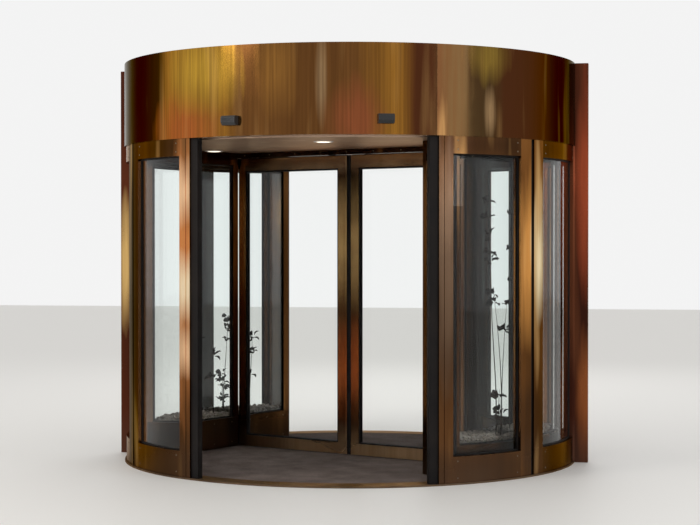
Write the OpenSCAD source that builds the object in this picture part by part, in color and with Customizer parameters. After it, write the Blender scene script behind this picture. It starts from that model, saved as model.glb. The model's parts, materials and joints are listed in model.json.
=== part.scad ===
/* [Canopy] */
// Outer radius of the canopy band and of the floor ring
drum_r = 1725; // [1650:5:2200]
// Height of the canopy band
canopy_h = 620; // [400:10:900]
// Clear height from the floor to the underside of the canopy
clear_h = 2380; // [2100:10:2800]
// Sheet thickness of the band
fascia_t = 4; // [2:1:8]
// Width of the folded edges of the band
fascia_return = 30; // [20:1:50]
// Open joint between two panels of the band
fascia_joint = 3; // [1:0.5:8]
// Panels in the band on each half
fascia_panels = 3; // [2:1:6]
// Thickness of the fixed ring under the canopy
soffit_t = 10; // [6:1:15]
// Section of the two ring beams and of the uprights
beam_w = 60; // [40:5:70]
// Uprights between the ring beams
upright_count = 12; // [6:1:24]
// Arms that carry the bearing
arm_count = 6; // [3:1:8]
// Width of an arm
arm_w = 80; // [50:5:120]
// Height of an arm
arm_h = 80; // [50:5:120]
// Thickness of the roof sheet
roof_t = 6; // [4:1:12]
// Depth of the roof sheet below the top edge of the band
roof_drop = 36; // [24:1:80]
// Standing seams of the roof sheet
roof_seams = 8; // [4:4:16]
// Height of a standing seam
roof_seam_h = 22; // [10:1:24]
// Side of a service hatch in the roof
hatch_w = 440; // [300:10:460]
// Distance of the hatches from the middle
hatch_at = 1000; // [900:10:1100]

/* [Walls] */
// Distance of the wall frames from the edge of the canopy
wall_inset = 13; // [5:1:25]
// Radial depth of the wall frames
wall_d = 72; // [60:1:80]
// Thickness of the curved wall glass
wall_glass_t = 12; // [8:1:20]
// Height of the floor ring
floor_t = 12; // [10:1:30]
// Height of the kick rail
kick_h = 180; // [100:5:300]
// Height of the head rail
head_h = 120; // [60:5:200]
// Clear width of each doorway between its safety strips
doorway_w = 1600; // [1300:2:1660]
// Width of the rubber safety strip at the edge of a doorway
strip_w = 64; // [50:1:110]
// Depth of the rubber safety strip
strip_d = 46; // [30:1:60]
// Width of a door jamb
jamb_w = 105; // [80:1:150]
// Width of the joint between the two covers of a door jamb
jamb_joint = 6; // [3:1:10]
// Depth of that joint
jamb_joint_d = 5; // [3:1:10]
// Width of the pane between a jamb and the middle post
pane_w = 590; // [400:5:700]
// Width of the first half of the middle post
post_w1 = 115; // [60:1:130]
// Width of the recessed seam between the two halves
seam_w = 34; // [20:1:60]
// Width of the second half of the middle post
post_w2 = 115; // [60:1:130]

/* [Facade posts] */
// Width of the post that joins the drum to the facade
facade_w = 98; // [60:1:150]
// Depth of that post
facade_d = 100; // [60:1:115]
// Spacing of the fixing holes in its outer face
facade_pitch = 750; // [500:10:900]
// Diameter of the fixing holes
facade_bore = 14; // [8:1:20]
// Depth of the fixing holes
facade_bore_depth = 40; // [20:1:50]

/* [Floor mat] */
// Distance between the grooves of the mat
groove_pitch = 60; // [40:5:200]
// Width of a groove
groove_w = 6; // [3:1:12]
// Depth of a groove
groove_h = 5; // [2:1:8]
// Distance of the mat's edge from the edge of the canopy
mat_inset = 165; // [140:5:200]

/* [Rotor] */
// Angle at which the rotor is parked
park_angle = -25; // [-30:1:30]
// Gap between the rotor and the frames of the wall
rotor_gap = 40; // [30:1:80]
// Gap between the rotating ceiling and the fixed ring round it
ceiling_gap = 12; // [8:1:20]
// Thickness of the rotating ceiling
ceiling_t = 20; // [15:1:25]
// Distance of its underside below the canopy
ceiling_drop = 8; // [5:1:12]
// Width of the joints between the panels of the ceiling
ceiling_joint = 4; // [2:1:8]
// Radius of the shaft
shaft_r = 60; // [40:1:80]
// Radius of the flange under the bearing
flange_r = 200; // [150:5:300]
// Height of that flange
flange_t = 14; // [8:1:20]
// Gap between the flange and the fixed arms above it
flange_gap = 14; // [8:1:25]
// Radius of the bearing housing
housing_r = 160; // [120:5:200]
// Height of the bearing housing
housing_h = 180; // [120:5:240]
// Radius of the collar that hangs on the bearing
collar_r = 100; // [90:1:110]
// Height of the collar
collar_h = 40; // [20:1:60]
// Distance of the downlights from the edge of the ceiling
light_inset = 520; // [450:10:700]
// Radius of a downlight's can
light_r = 59; // [40:1:80]
// Width of a downlight's trim
light_trim = 12; // [6:1:20]
// Height of a downlight's trim
light_lip = 5; // [3:1:8]

/* [Showcases] */
// Depth of a showcase from its flat inner wall to the rotor's edge
case_depth = 525; // [500:5:620]
// Half width of the flat inner wall
case_half_w = 640; // [600:5:680]
// Angle by which the side walls open out
case_flare = 23; // [20:0.5:26]
// Width of the posts and rails
case_bar = 45; // [35:1:60]
// Thickness of the showcase glass
case_glass_t = 10; // [6:1:14]
// Height of the plinth
plinth_h = 230; // [120:5:300]
// Height of the top rails
case_rail_h = 95; // [60:5:140]
// Width of the posts beside the pocket
pocket_post_w = 60; // [40:1:90]
// Half width of the pocket
pocket_half = 38; // [30:1:45]
// Thickness of the pocket's glass
pocket_glass_t = 8; // [5:1:10]
// Gap under the rotor
floor_gap = 8; // [6:1:20]
// Gap between the brushes at the outer corners and the wall
brush_gap = 10; // [6:1:20]
// Width of a brush
brush_w = 22; // [10:1:30]

/* [Sliding leaves] */
// Thickness of a leaf
leaf_t = 45; // [35:1:50]
// Width of the stiles
stile_w = 76; // [50:1:100]
// Bevel along the edges of a leaf
leaf_bevel = 4; // [1:0.5:6]
// How deep the glass sits in the groove of its frame
glass_bite = 12; // [6:1:20]
// Height of the top rail
leaf_top_h = 95; // [60:5:150]
// Height of the bottom rail
leaf_bottom_h = 85; // [70:5:200]
// Thickness of the leaf glass
leaf_glass_t = 10; // [6:1:14]
// Width of the rubber seal where the leaves meet
seal_w = 17.5; // [8:0.5:25]
// Half gap between the two seals
seal_gap = 2.5; // [2.5:0.5:5]
// How far a closed leaf reaches into its pocket
leaf_lap = 8; // [5:1:20]
// Height of the header that hangs the leaves
header_h = 38; // [34:1:50]
// Wall of the header
header_t = 6; // [4:1:8]
// Gap between the leaves and the header
header_gap = 9; // [6:1:12]
// Width of the slot in the header
slot_w = 24; // [20:1:30]
// Radius of a roller
roller_r = 11; // [8:0.5:12]
// Width of a roller
roller_w = 12; // [8:1:14]
// Length of a carriage
carriage_l = 90; // [70:5:120]
// Distance of a carriage from the end of its leaf
carriage_inset = 150; // [100:5:250]

/* [Sensors] */
// Width of a motion sensor
sensor_w = 110; // [80:5:150]
// Height of a motion sensor
sensor_h = 65; // [50:5:90]
// Depth of a motion sensor
sensor_d = 50; // [35:1:60]
// Angle of the sensors to either side of a doorway's middle
sensor_a = 18; // [10:1:22]
// Height of their middle above the edge of the canopy
sensor_up = 105; // [60:5:200]

/* [Hidden] */
$fn = 180;
seat = 0.3;
total_h = clear_h + canopy_h;
wall_ro = drum_r - wall_inset;
wall_ri = wall_ro - wall_d;
wall_rm = (wall_ro + wall_ri) / 2;
mat_r = drum_r - mat_inset;
mat_h = floor_t - 2;
rotor_r = wall_ri - rotor_gap;
soffit_ri = rotor_r + ceiling_gap;
soffit_ro = drum_r - fascia_return - seat;
beam_ro = drum_r - fascia_t - seat;
beam_ri = beam_ro - beam_w;
wall_z0 = floor_t + seat;
wall_z1 = clear_h - seat;
seat_a = arc_deg(seat);
beam_z0 = clear_h + soffit_t + seat;
roof_z = total_h - roof_drop - roof_t;
beam_z1 = roof_z - seat;
ceiling_z0 = clear_h - ceiling_drop;
ceiling_z1 = ceiling_z0 + ceiling_t;
flange_z1 = ceiling_z1 + seat + flange_t;
housing_z0 = flange_z1 + flange_gap;
housing_z1 = housing_z0 + housing_h;
bearing_play = 0.4;
strip_a0 = asin(doorway_w / 2 / wall_rm);
jamb_a0 = strip_a0 + arc_deg(strip_w);
jamb_a1 = jamb_a0 + arc_deg(jamb_w);
post_a = jamb_a1 + arc_deg(pane_w);
post_a1 = post_a + arc_deg(post_w1);
post_a2 = post_a1 + arc_deg(seam_w);
post_a3 = post_a2 + arc_deg(post_w2);
end_a = 90 - arc_deg(facade_d / 2 + 7);
light_at = rotor_r - light_inset;
case_x = rotor_r - case_depth;
brush_l = rotor_gap - brush_gap;
rotor_z0 = floor_t + floor_gap;
plinth_z1 = rotor_z0 + plinth_h;
case_rail_z0 = ceiling_z0 - case_rail_h;
case_glass_z0 = plinth_z1 + seat;
case_glass_z1 = case_rail_z0 - seat;
header_z1 = ceiling_z0 - seat;
header_z0 = header_z1 - header_h;
header_half = pocket_half + pocket_glass_t;
track_half = header_half - header_t;
track_z0 = header_z0 + header_t;
track_z1 = header_z1 - header_t;
pocket_x1 = rotor_r - case_bar - 5;
leaf_x0 = seal_gap + seal_w;
leaf_x1 = case_x + leaf_lap;
leaf_z1 = header_z0 - header_gap;
corner_a = case_corner_angle(0);
outer_post_a = corner_a - 2.2;
far = 2 * drum_r;

// Angle at the drum's centre that a width on the wall takes up
function arc_deg(w) = w / wall_rm * 180 / PI;

// Half width of a showcase at x, with its side walls moved in by inset
function case_side_y(x, inset) =
    case_half_w + (x - case_x) * tan(case_flare) - inset / cos(case_flare);

// Length along a side wall from the inner corner to the rotor's outer circle
function case_side_l() =
    let (p = case_x * cos(case_flare) + case_half_w * sin(case_flare))
    -p + sqrt(p * p - case_x * case_x - case_half_w * case_half_w + rotor_r * rotor_r);

// Angle of the outer corner of a showcase, seen from the middle
function case_corner_angle(back) =
    let (l = case_side_l() - back)
    atan2(case_half_w + l * sin(case_flare), case_x + l * cos(case_flare));

// A bar of the drum that follows the circle, angles from the front towards the right
module arc_bar(a0, a1, r0, r1, z0, z1) {
    rotate([0, 0, a0 - 90])
        rotate_extrude(angle = a1 - a0)
            translate([r0, z0])
                square([r1 - r0, z1 - z0]);
}

// Puts a piece of the right front quarter into another quarter of the drum
module quarter(right, front) {
    mirror([right ? 0 : 1, 0, 0])
        mirror([0, front ? 0 : 1, 0])
            children();
}

// Both quarters of one side
module side_of(right) {
    quarter(right, true) children();
    quarter(right, false) children();
}

// Turns a piece of the rotor from its wing line on X to the parked angle
module parked(right = true) {
    rotate([0, 0, park_angle + (right ? 0 : 180)])
        children();
}

module floor_ring() {
    color("#8a6a45")
        rotate_extrude()
            translate([mat_r + seat, 0])
                square([drum_r - mat_r - seat, floor_t]);
}

module floor_mat() {
    rows = floor(mat_r / groove_pitch);
    color("#4b453f")
        difference() {
            cylinder(r = mat_r, h = mat_h);
            for (i = [-rows : rows])
                translate([-far / 2, i * groove_pitch - groove_w / 2, mat_h - groove_h])
                    cube([far, groove_w, groove_h + 1]);
        }
}

// The two curved panes of one quarter of the wall
module quarter_glass() {
    r0 = wall_rm - wall_glass_t / 2;
    r1 = wall_rm + wall_glass_t / 2;
    z0 = floor_t + kick_h + seat;
    z1 = clear_h - head_h - seat;
    for (span = [[jamb_a1, post_a], [post_a3, end_a]])
        arc_bar(span[0] + seat_a, span[1] - seat_a, r0, r1, z0, z1);
}

module wall_glass_right_front() {
    color("#9fb8b4", 0.4) quarter(true, true) quarter_glass();
}

module wall_glass_right_back() {
    color("#9fb8b4", 0.4) quarter(true, false) quarter_glass();
}

module wall_glass_left_front() {
    color("#9fb8b4", 0.4) quarter(false, true) quarter_glass();
}

module wall_glass_left_back() {
    color("#9fb8b4", 0.4) quarter(false, false) quarter_glass();
}

// Kick rails and head rails of one quarter
module quarter_rails() {
    for (span = [[jamb_a1, post_a], [post_a3, end_a]]) {
        a0 = span[0] + seat_a;
        a1 = span[1] - seat_a;
        arc_bar(a0, a1, wall_ri, wall_ro, wall_z0, floor_t + kick_h);
        arc_bar(a0, a1, wall_ri, wall_ro, clear_h - head_h, wall_z1);
    }
}

module wall_rails_right() {
    color("#8a5a2b") side_of(true) quarter_rails();
}

module wall_rails_left() {
    color("#8a5a2b") side_of(false) quarter_rails();
}

// A jamb is clad by two covers, which leave a joint on both faces
module jamb() {
    joint_a = jamb_a0 + (jamb_a1 - jamb_a0) / 3;
    joint_a1 = joint_a + arc_deg(jamb_joint);
    difference() {
        arc_bar(jamb_a0, jamb_a1, wall_ri, wall_ro, wall_z0, wall_z1);
        arc_bar(joint_a, joint_a1, wall_ro - jamb_joint_d, wall_ro + 5, 0, total_h);
        arc_bar(joint_a, joint_a1, wall_ri - 5, wall_ri + jamb_joint_d, 0, total_h);
    }
}

module jambs_front() {
    color("#9a6a35") {
        quarter(true, true) jamb();
        quarter(false, true) jamb();
    }
}

module jambs_back() {
    color("#9a6a35") {
        quarter(true, false) jamb();
        quarter(false, false) jamb();
    }
}

// The safety strip of a doorway and the filler in the seam of a middle post
module quarter_strips() {
    r0 = wall_rm - strip_d / 2;
    r1 = wall_rm + strip_d / 2;
    arc_bar(strip_a0, jamb_a0 - seat_a, r0, r1, wall_z0, wall_z1);
    arc_bar(post_a1 + seat_a, post_a2 - seat_a, r0, r1, wall_z0, wall_z1);
}

module rubber_strips() {
    color("#1c1b1a") {
        side_of(true) quarter_strips();
        side_of(false) quarter_strips();
    }
}

// The two halves of a middle post
module mid_post() {
    arc_bar(post_a, post_a1, wall_ri, wall_ro, wall_z0, wall_z1);
    arc_bar(post_a2, post_a3, wall_ri, wall_ro, wall_z0, wall_z1);
}

module mid_posts_right() {
    color("#a8703a") side_of(true) mid_post();
}

module mid_posts_left() {
    color("#a8703a") side_of(false) mid_post();
}

// Plan of the post that closes the wall on one side and meets the facade beside it
module facade_post_area() {
    half_a = 90 - end_a;
    near_x = drum_r + seat;
    polygon([
        [wall_ri * cos(half_a), -wall_ri * sin(half_a)],
        [wall_ro * cos(half_a), -wall_ro * sin(half_a)],
        [near_x, -facade_d / 2], [near_x + facade_w, -facade_d / 2],
        [near_x + facade_w, facade_d / 2], [near_x, facade_d / 2],
        [wall_ro * cos(half_a), wall_ro * sin(half_a)],
        [wall_ri * cos(half_a), wall_ri * sin(half_a)]
    ]);
}

// The post passes the floor ring and the canopy outside them
module facade_post() {
    face_x = drum_r + seat + facade_w;
    difference() {
        union() {
            translate([0, 0, wall_z0])
                linear_extrude(wall_z1 - wall_z0)
                    facade_post_area();
            translate([drum_r + seat, -facade_d / 2, 0])
                cube([facade_w, facade_d, total_h]);
        }
        for (z = [facade_pitch / 2 : facade_pitch : total_h - facade_pitch / 4])
            translate([face_x - facade_bore_depth, 0, z])
                rotate([0, 90, 0])
                    cylinder(d = facade_bore, h = facade_bore_depth + 1, $fn = 48);
    }
}

module facade_post_right() {
    color("#a5522d") facade_post();
}

module facade_post_left() {
    color("#a5522d") mirror([1, 0, 0]) facade_post();
}

module soffit_ring() {
    color("#87694b")
        rotate_extrude()
            translate([soffit_ri, clear_h])
                square([soffit_ro - soffit_ri, soffit_t]);
}

// Two ring beams, the uprights between them and the arms to the bearing
module canopy_frame() {
    color("#5b5b5e")
        difference() {
            union() {
                for (z = [beam_z0, beam_z1 - beam_w])
                    rotate_extrude()
                        translate([beam_ri, z])
                            square([beam_w, beam_w]);
                for (i = [0 : upright_count - 1])
                    rotate([0, 0, (i + 0.5) * 360 / upright_count])
                        translate([beam_ri + 5, -beam_w / 2, beam_z0 + 1])
                            cube([beam_w - 10, beam_w, beam_z1 - beam_z0 - 2]);
                for (i = [0 : arm_count - 1])
                    rotate([0, 0, i * 360 / arm_count])
                        translate([housing_r / 2, -arm_w / 2, housing_z0])
                            cube([beam_ri + 10 - housing_r / 2, arm_w, arm_h]);
            }
            translate([0, 0, housing_z0 - 1])
                cylinder(r = housing_r + seat, h = arm_h + 2);
        }
}

// One half of the band: bent panels with folded edges
module fascia_half() {
    joint_a = fascia_joint / drum_r * 180 / PI;
    panel_a = 180 / fascia_panels;
    ri = drum_r - fascia_t;
    fold = drum_r - fascia_return;
    for (i = [0 : fascia_panels - 1])
        rotate([0, 0, -180 + i * panel_a + joint_a / 2])
            rotate_extrude(angle = panel_a - joint_a)
                polygon([
                    [fold, clear_h], [drum_r, clear_h], [drum_r, total_h], [fold, total_h],
                    [fold, total_h - fascia_t], [ri, total_h - fascia_t],
                    [ri, clear_h + fascia_t], [fold, clear_h + fascia_t]
                ]);
}

module canopy_fascia_front() {
    color("#b5803f") fascia_half();
}

module canopy_fascia_back() {
    color("#b5803f") rotate([0, 0, 180]) fascia_half();
}

// The roof sheet lies in the band like a tray, with standing seams and two hatches
module canopy_roof() {
    seam_a = 360 / roof_seams;
    seam_t = roof_t + 2;
    color("#6d5a48") {
        translate([0, 0, roof_z])
            cylinder(r = beam_ro, h = roof_t);
        for (i = [0 : roof_seams - 1])
            rotate([0, 0, (i + 0.5) * seam_a])
                translate([flange_r, -seam_t / 2, roof_z])
                    cube([beam_ri - flange_r, seam_t, roof_t + roof_seam_h]);
        for (right = [1, -1])
            translate([right * hatch_at - hatch_w / 2, -hatch_w / 2, roof_z]) {
                cube([hatch_w, hatch_w, 2 * roof_t]);
                translate([roof_t, roof_t, 0])
                    cube([hatch_w - 2 * roof_t, hatch_w - 2 * roof_t, 3 * roof_t]);
            }
    }
}

module bearing_housing() {
    color("#6f7276")
        difference() {
            translate([0, 0, housing_z0])
                cylinder(r = housing_r, h = housing_h);
            translate([0, 0, housing_z0 - 1])
                cylinder(r = shaft_r + bearing_play, h = housing_h + 2);
        }
}

// A sensor with a sloping window, seated on the curve of the band
module motion_sensor() {
    slope = sensor_h * 0.55;
    difference() {
        translate([drum_r - 10, sensor_w / 2, 0])
            rotate([90, 0, 0])
                linear_extrude(sensor_w)
                    polygon([
                        [0, 0], [10 + sensor_d - 18, 0], [10 + sensor_d, slope * 0.6],
                        [10 + sensor_d, sensor_h - 12], [10 + sensor_d - 12, sensor_h],
                        [0, sensor_h]
                    ]);
        translate([0, 0, -1])
            cylinder(r = drum_r + seat, h = sensor_h + 2);
    }
}

module motion_sensors() {
    color("#202022")
        for (side = [-90, 90], a = [-sensor_a, sensor_a])
            rotate([0, 0, side + a])
                translate([0, 0, clear_h + sensor_up - sensor_h / 2])
                    motion_sensor();
}

// The four places of the downlights, square to the drum when parked
module at_lights() {
    for (i = [0 : 3])
        rotate([0, 0, i * 90])
            translate([light_at, 0, 0])
                children();
}

module rotor_ceiling() {
    color("#7a6146")
        difference() {
            translate([0, 0, ceiling_z0])
                cylinder(r = rotor_r, h = ceiling_t);
            at_lights()
                translate([0, 0, ceiling_z0 - 1])
                    cylinder(r = light_r + 1, h = ceiling_t + 2, $fn = 64);
            for (y = [-1, 1])
                parked()
                    translate([-far / 2, y * case_half_w - ceiling_joint / 2, ceiling_z0 - 1])
                        cube([far, ceiling_joint, ceiling_joint + 1]);
        }
}

module rotor_shaft() {
    color("#8b8f94") {
        translate([0, 0, ceiling_z1 + seat])
            cylinder(r = flange_r, h = flange_t);
        translate([0, 0, ceiling_z1 + seat])
            cylinder(r = shaft_r, h = housing_z1 + collar_h - ceiling_z1);
        translate([0, 0, housing_z1 + seat])
            cylinder(r = collar_r, h = collar_h);
    }
}

// The header is a channel open downwards by a slot, closed above by the ceiling
module header_beam() {
    color("#8a5a2b")
        parked()
            translate([-pocket_x1, 0, 0])
                rotate([90, 0, 90])
                    linear_extrude(2 * pocket_x1)
                        difference() {
                            translate([-header_half, header_z0])
                                square([2 * header_half, header_z1 - header_z0]);
                            translate([-track_half, track_z0])
                                square([2 * track_half, track_z1 - track_z0]);
                            translate([-slot_w / 2, header_z0 - 1])
                                square([slot_w, header_t + 2]);
                        }
}

// A can in the ceiling with a trim ring below it
module downlights() {
    color("#e8e4da")
        at_lights()
            translate([0, 0, ceiling_z0 - seat - light_lip]) {
                cylinder(r = light_r + light_trim, h = light_lip, $fn = 64);
                cylinder(r = light_r, h = light_lip + ceiling_t + flange_t, $fn = 64);
            }
}

// Plan of a showcase, with all its walls moved in by inset
module case_area(inset) {
    x0 = case_x + inset;
    intersection() {
        circle(r = rotor_r - inset);
        polygon([
            [x0, -case_side_y(x0, inset)], [far, -case_side_y(far, inset)],
            [far, case_side_y(far, inset)], [x0, case_side_y(x0, inset)]
        ]);
    }
}

// Plan of the pocket that a leaf slides into
module pocket_area(half) {
    translate([case_x - 10, -half])
        square([pocket_x1 + 10 - case_x, 2 * half]);
}

// Plan of the corner posts and of the posts beside the pocket
module case_post_area() {
    difference() {
        intersection() {
            difference() {
                case_area(0);
                case_area(case_bar);
            }
            union() {
                for (m = [0, 1])
                    mirror([0, m]) {
                        translate([case_x, pocket_half])
                            square([case_bar, pocket_post_w]);
                        translate([case_x, case_half_w])
                            rotate(case_flare)
                                translate([-far, -case_bar * 1.4])
                                    square([far + case_bar, case_bar * 2]);
                        intersection() {
                            rotate(outer_post_a)
                                square([far, far]);
                            translate([case_x, case_half_w])
                                rotate(case_flare)
                                    translate([case_side_l() - case_bar, -far])
                                        square([far, 2 * far]);
                        }
                    }
            }
        }
        pocket_area(pocket_half);
    }
}

module case_plinth() {
    translate([0, 0, rotor_z0])
        linear_extrude(plinth_h)
            difference() {
                case_area(0);
                pocket_area(pocket_half);
            }
}

module case_frame() {
    translate([0, 0, plinth_z1 + seat])
        linear_extrude(case_rail_z0 - plinth_z1 - seat)
            case_post_area();
    translate([0, 0, case_rail_z0])
        linear_extrude(ceiling_z0 - seat - case_rail_z0)
            difference() {
                case_area(0);
                case_area(case_bar);
                pocket_area(header_half + seat);
            }
}

// Plan of the glass in the middle of the posts
module case_glass_area() {
    inset = (case_bar - case_glass_t) / 2;
    difference() {
        case_area(inset);
        case_area(inset + case_glass_t);
        case_post_area();
        pocket_area(pocket_half + 1);
    }
}

// Plan of the outer band of a showcase between its two outer posts
module outer_band_area() {
    difference() {
        polygon([
            [0, 0], [far * cos(outer_post_a), -far * sin(outer_post_a)],
            [far * cos(outer_post_a), far * sin(outer_post_a)]
        ]);
        circle(r = rotor_r - case_bar);
    }
}

// The flat panes of the inner wall and of the two side walls
module case_side_glass() {
    translate([0, 0, case_glass_z0])
        linear_extrude(case_glass_z1 - case_glass_z0)
            difference() {
                case_glass_area();
                outer_band_area();
            }
}

// The bent pane on the rotor's outer circle
module case_outer_glass() {
    r0 = rotor_r - (case_bar + case_glass_t) / 2;
    a = outer_post_a - seat_a;
    rotate([0, 0, -a])
        rotate_extrude(angle = 2 * a)
            translate([r0, case_glass_z0])
                square([case_glass_t, case_glass_z1 - case_glass_z0]);
}

// Two panes that keep the leaf apart from what stands in the showcase
module case_pocket() {
    for (m = [0, 1])
        mirror([0, m, 0])
            translate([case_x + case_bar + seat, pocket_half, case_glass_z0])
                cube([
                    pocket_x1 - case_x - case_bar - seat, pocket_glass_t,
                    header_z0 - seat - case_glass_z0
                ]);
}

module showcase_right_plinth() {
    color("#7b5430") parked(true) case_plinth();
}

module showcase_right_frame() {
    color("#8a5a2b") parked(true) case_frame();
}

module showcase_right_side_glass() {
    color("#9fb8b4", 0.4) parked(true) case_side_glass();
}

module showcase_right_outer_glass() {
    color("#9fb8b4", 0.4) parked(true) case_outer_glass();
}

module showcase_right_pocket() {
    color("#9fb8b4", 0.4) parked(true) case_pocket();
}

module showcase_left_plinth() {
    color("#7b5430") parked(false) case_plinth();
}

module showcase_left_frame() {
    color("#8a5a2b") parked(false) case_frame();
}

module showcase_left_side_glass() {
    color("#9fb8b4", 0.4) parked(false) case_side_glass();
}

module showcase_left_outer_glass() {
    color("#9fb8b4", 0.4) parked(false) case_outer_glass();
}

module showcase_left_pocket() {
    color("#9fb8b4", 0.4) parked(false) case_pocket();
}

// Upright brushes on the four outer corners, reaching for the wall
module brush_seals() {
    brush_a = brush_w / rotor_r * 180 / PI;
    color("#161515")
        for (right = [true, false])
            parked(right)
                for (m = [0, 1])
                    mirror([0, m, 0])
                        rotate([0, 0, corner_a - brush_a])
                            rotate_extrude(angle = brush_a)
                                translate([rotor_r + seat, rotor_z0])
                                    square([brush_l - seat, ceiling_z0 - seat - rotor_z0]);
}

// A block in the opening of a leaf, grown on all sides by grow, t thick
module leaf_pane(grow, t) {
    x0 = leaf_x0 + stile_w - grow;
    z0 = rotor_z0 + leaf_bottom_h - grow;
    translate([x0, -t / 2, z0])
        cube([leaf_x1 - stile_w + grow - x0, t, leaf_z1 - leaf_top_h + grow - z0]);
}

// The frame of a leaf, with bevelled edges and a groove for the glass
module leaf_frame() {
    h = leaf_t / 2;
    b = leaf_bevel;
    difference() {
        translate([0, 0, rotor_z0])
            linear_extrude(leaf_z1 - rotor_z0)
                polygon([
                    [leaf_x0 + b, -h], [leaf_x1 - b, -h], [leaf_x1, b - h], [leaf_x1, h - b],
                    [leaf_x1 - b, h], [leaf_x0 + b, h], [leaf_x0, h - b], [leaf_x0, b - h]
                ]);
        leaf_pane(0, 2 * leaf_t);
        leaf_pane(glass_bite + seat, leaf_glass_t + 2 * seat);
    }
}

module leaf_glass() {
    leaf_pane(glass_bite, leaf_glass_t);
}

module leaf_seal() {
    translate([seal_gap, -leaf_t / 4, rotor_z0])
        cube([seal_w - seat, leaf_t / 2, leaf_z1 - rotor_z0]);
}

// A bracket on top of the leaf and a four wheeled trolley in the track
module carriage() {
    body_half = track_half - roller_w - 3;
    wheel_z = track_z0 + seat + roller_r;
    stem_half = slot_w / 2 - 4;
    translate([-carriage_l / 3, -stem_half, leaf_z1 + seat])
        cube([carriage_l * 2 / 3, 2 * stem_half, wheel_z - leaf_z1 - seat]);
    translate([-carriage_l / 2, -body_half, track_z0 + 3])
        cube([carriage_l, 2 * body_half, 2 * roller_r - 5]);
    for (x = [-1, 1])
        translate([x * (carriage_l / 2 - roller_r), body_half + roller_w, wheel_z])
            rotate([90, 0, 0])
                cylinder(r = roller_r, h = 2 * (body_half + roller_w), $fn = 48);
}

module leaf_carriages() {
    for (x = [leaf_x0 + carriage_inset, leaf_x1 - carriage_inset])
        translate([x, 0, 0])
            carriage();
}

module leaf_right_frame() {
    color("#8a5a2b") parked(true) leaf_frame();
}

module leaf_right_glass() {
    color("#9fb8b4", 0.4) parked(true) leaf_glass();
}

module leaf_right_seal() {
    color("#161515") parked(true) leaf_seal();
}

module leaf_right_carriages() {
    color("#8b8f94") parked(true) leaf_carriages();
}

module leaf_left_frame() {
    color("#8a5a2b") parked(false) leaf_frame();
}

module leaf_left_glass() {
    color("#9fb8b4", 0.4) parked(false) leaf_glass();
}

module leaf_left_seal() {
    color("#161515") parked(false) leaf_seal();
}

module leaf_left_carriages() {
    color("#8b8f94") parked(false) leaf_carriages();
}

floor_ring();
floor_mat();
wall_glass_right_front();
wall_glass_right_back();
wall_glass_left_front();
wall_glass_left_back();
wall_rails_right();
wall_rails_left();
jambs_front();
jambs_back();
rubber_strips();
mid_posts_right();
mid_posts_left();
facade_post_right();
facade_post_left();
soffit_ring();
canopy_frame();
canopy_fascia_front();
canopy_fascia_back();
canopy_roof();
bearing_housing();
motion_sensors();
rotor_ceiling();
rotor_shaft();
header_beam();
downlights();
brush_seals();
showcase_right_plinth();
showcase_right_frame();
showcase_right_side_glass();
showcase_right_outer_glass();
showcase_right_pocket();
showcase_left_plinth();
showcase_left_frame();
showcase_left_side_glass();
showcase_left_outer_glass();
showcase_left_pocket();
leaf_right_frame();
leaf_right_glass();
leaf_right_seal();
leaf_right_carriages();
leaf_left_frame();
leaf_left_glass();
leaf_left_seal();
leaf_left_carriages();
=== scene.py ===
# %% [markdown]
# # A bronze revolving door
#
# The object is a two wing automatic revolving door: a drum of curved glass under a tall bronze
# canopy, and a rotor with a straight wing line and a glazed showcase at each end. The construction
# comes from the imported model, in metres. It could all be modelled again here, but then the looks and
# the construction would drift apart. So this script keeps every construction node, gives each its
# finish, and adds only the small things that a construction model leaves out: gaskets, screws,
# bristles, mat ribs, twigs, pebbles and lenses.

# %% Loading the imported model
import json
import math
import random

import bmesh
import bpy
from mathutils import Matrix, Vector


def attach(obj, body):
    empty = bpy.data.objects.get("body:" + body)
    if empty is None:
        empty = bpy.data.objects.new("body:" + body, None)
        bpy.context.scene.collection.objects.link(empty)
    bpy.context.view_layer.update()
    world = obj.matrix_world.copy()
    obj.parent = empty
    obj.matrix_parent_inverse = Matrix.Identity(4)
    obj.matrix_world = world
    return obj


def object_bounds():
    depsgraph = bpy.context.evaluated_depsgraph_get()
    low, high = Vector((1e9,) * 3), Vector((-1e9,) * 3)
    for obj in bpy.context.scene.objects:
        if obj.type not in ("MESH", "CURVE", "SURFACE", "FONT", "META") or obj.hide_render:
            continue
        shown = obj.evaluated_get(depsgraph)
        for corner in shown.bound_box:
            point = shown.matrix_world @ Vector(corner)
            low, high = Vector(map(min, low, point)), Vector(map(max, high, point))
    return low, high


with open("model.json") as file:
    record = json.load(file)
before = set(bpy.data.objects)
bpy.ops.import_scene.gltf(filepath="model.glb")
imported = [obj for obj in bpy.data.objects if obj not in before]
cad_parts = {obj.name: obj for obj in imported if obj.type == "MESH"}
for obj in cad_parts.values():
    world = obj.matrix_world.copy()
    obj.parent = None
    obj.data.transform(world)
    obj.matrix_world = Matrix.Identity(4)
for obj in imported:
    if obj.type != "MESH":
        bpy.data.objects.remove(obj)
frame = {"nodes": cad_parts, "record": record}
cad_low, cad_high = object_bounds()
print("construction box", tuple(cad_low), tuple(cad_high))

# %% [markdown]
# ## The camera
#
# The photograph was taken at eye height, from a little to the right of the doorway. A closer camera
# would spread the canopy wider than in the photograph, so this one stands at the same distance and
# height. A longer lens then fills the frame with the door, which changes its size in the picture but
# nothing in its shape.

# %% Camera
EYE_HEIGHT = 1.65
CAMERA_DISTANCE = 13.156
CAMERA_SIDE_ANGLE = 10.02
AIM_HEIGHT = 1.50
LENS = 87.6


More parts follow.
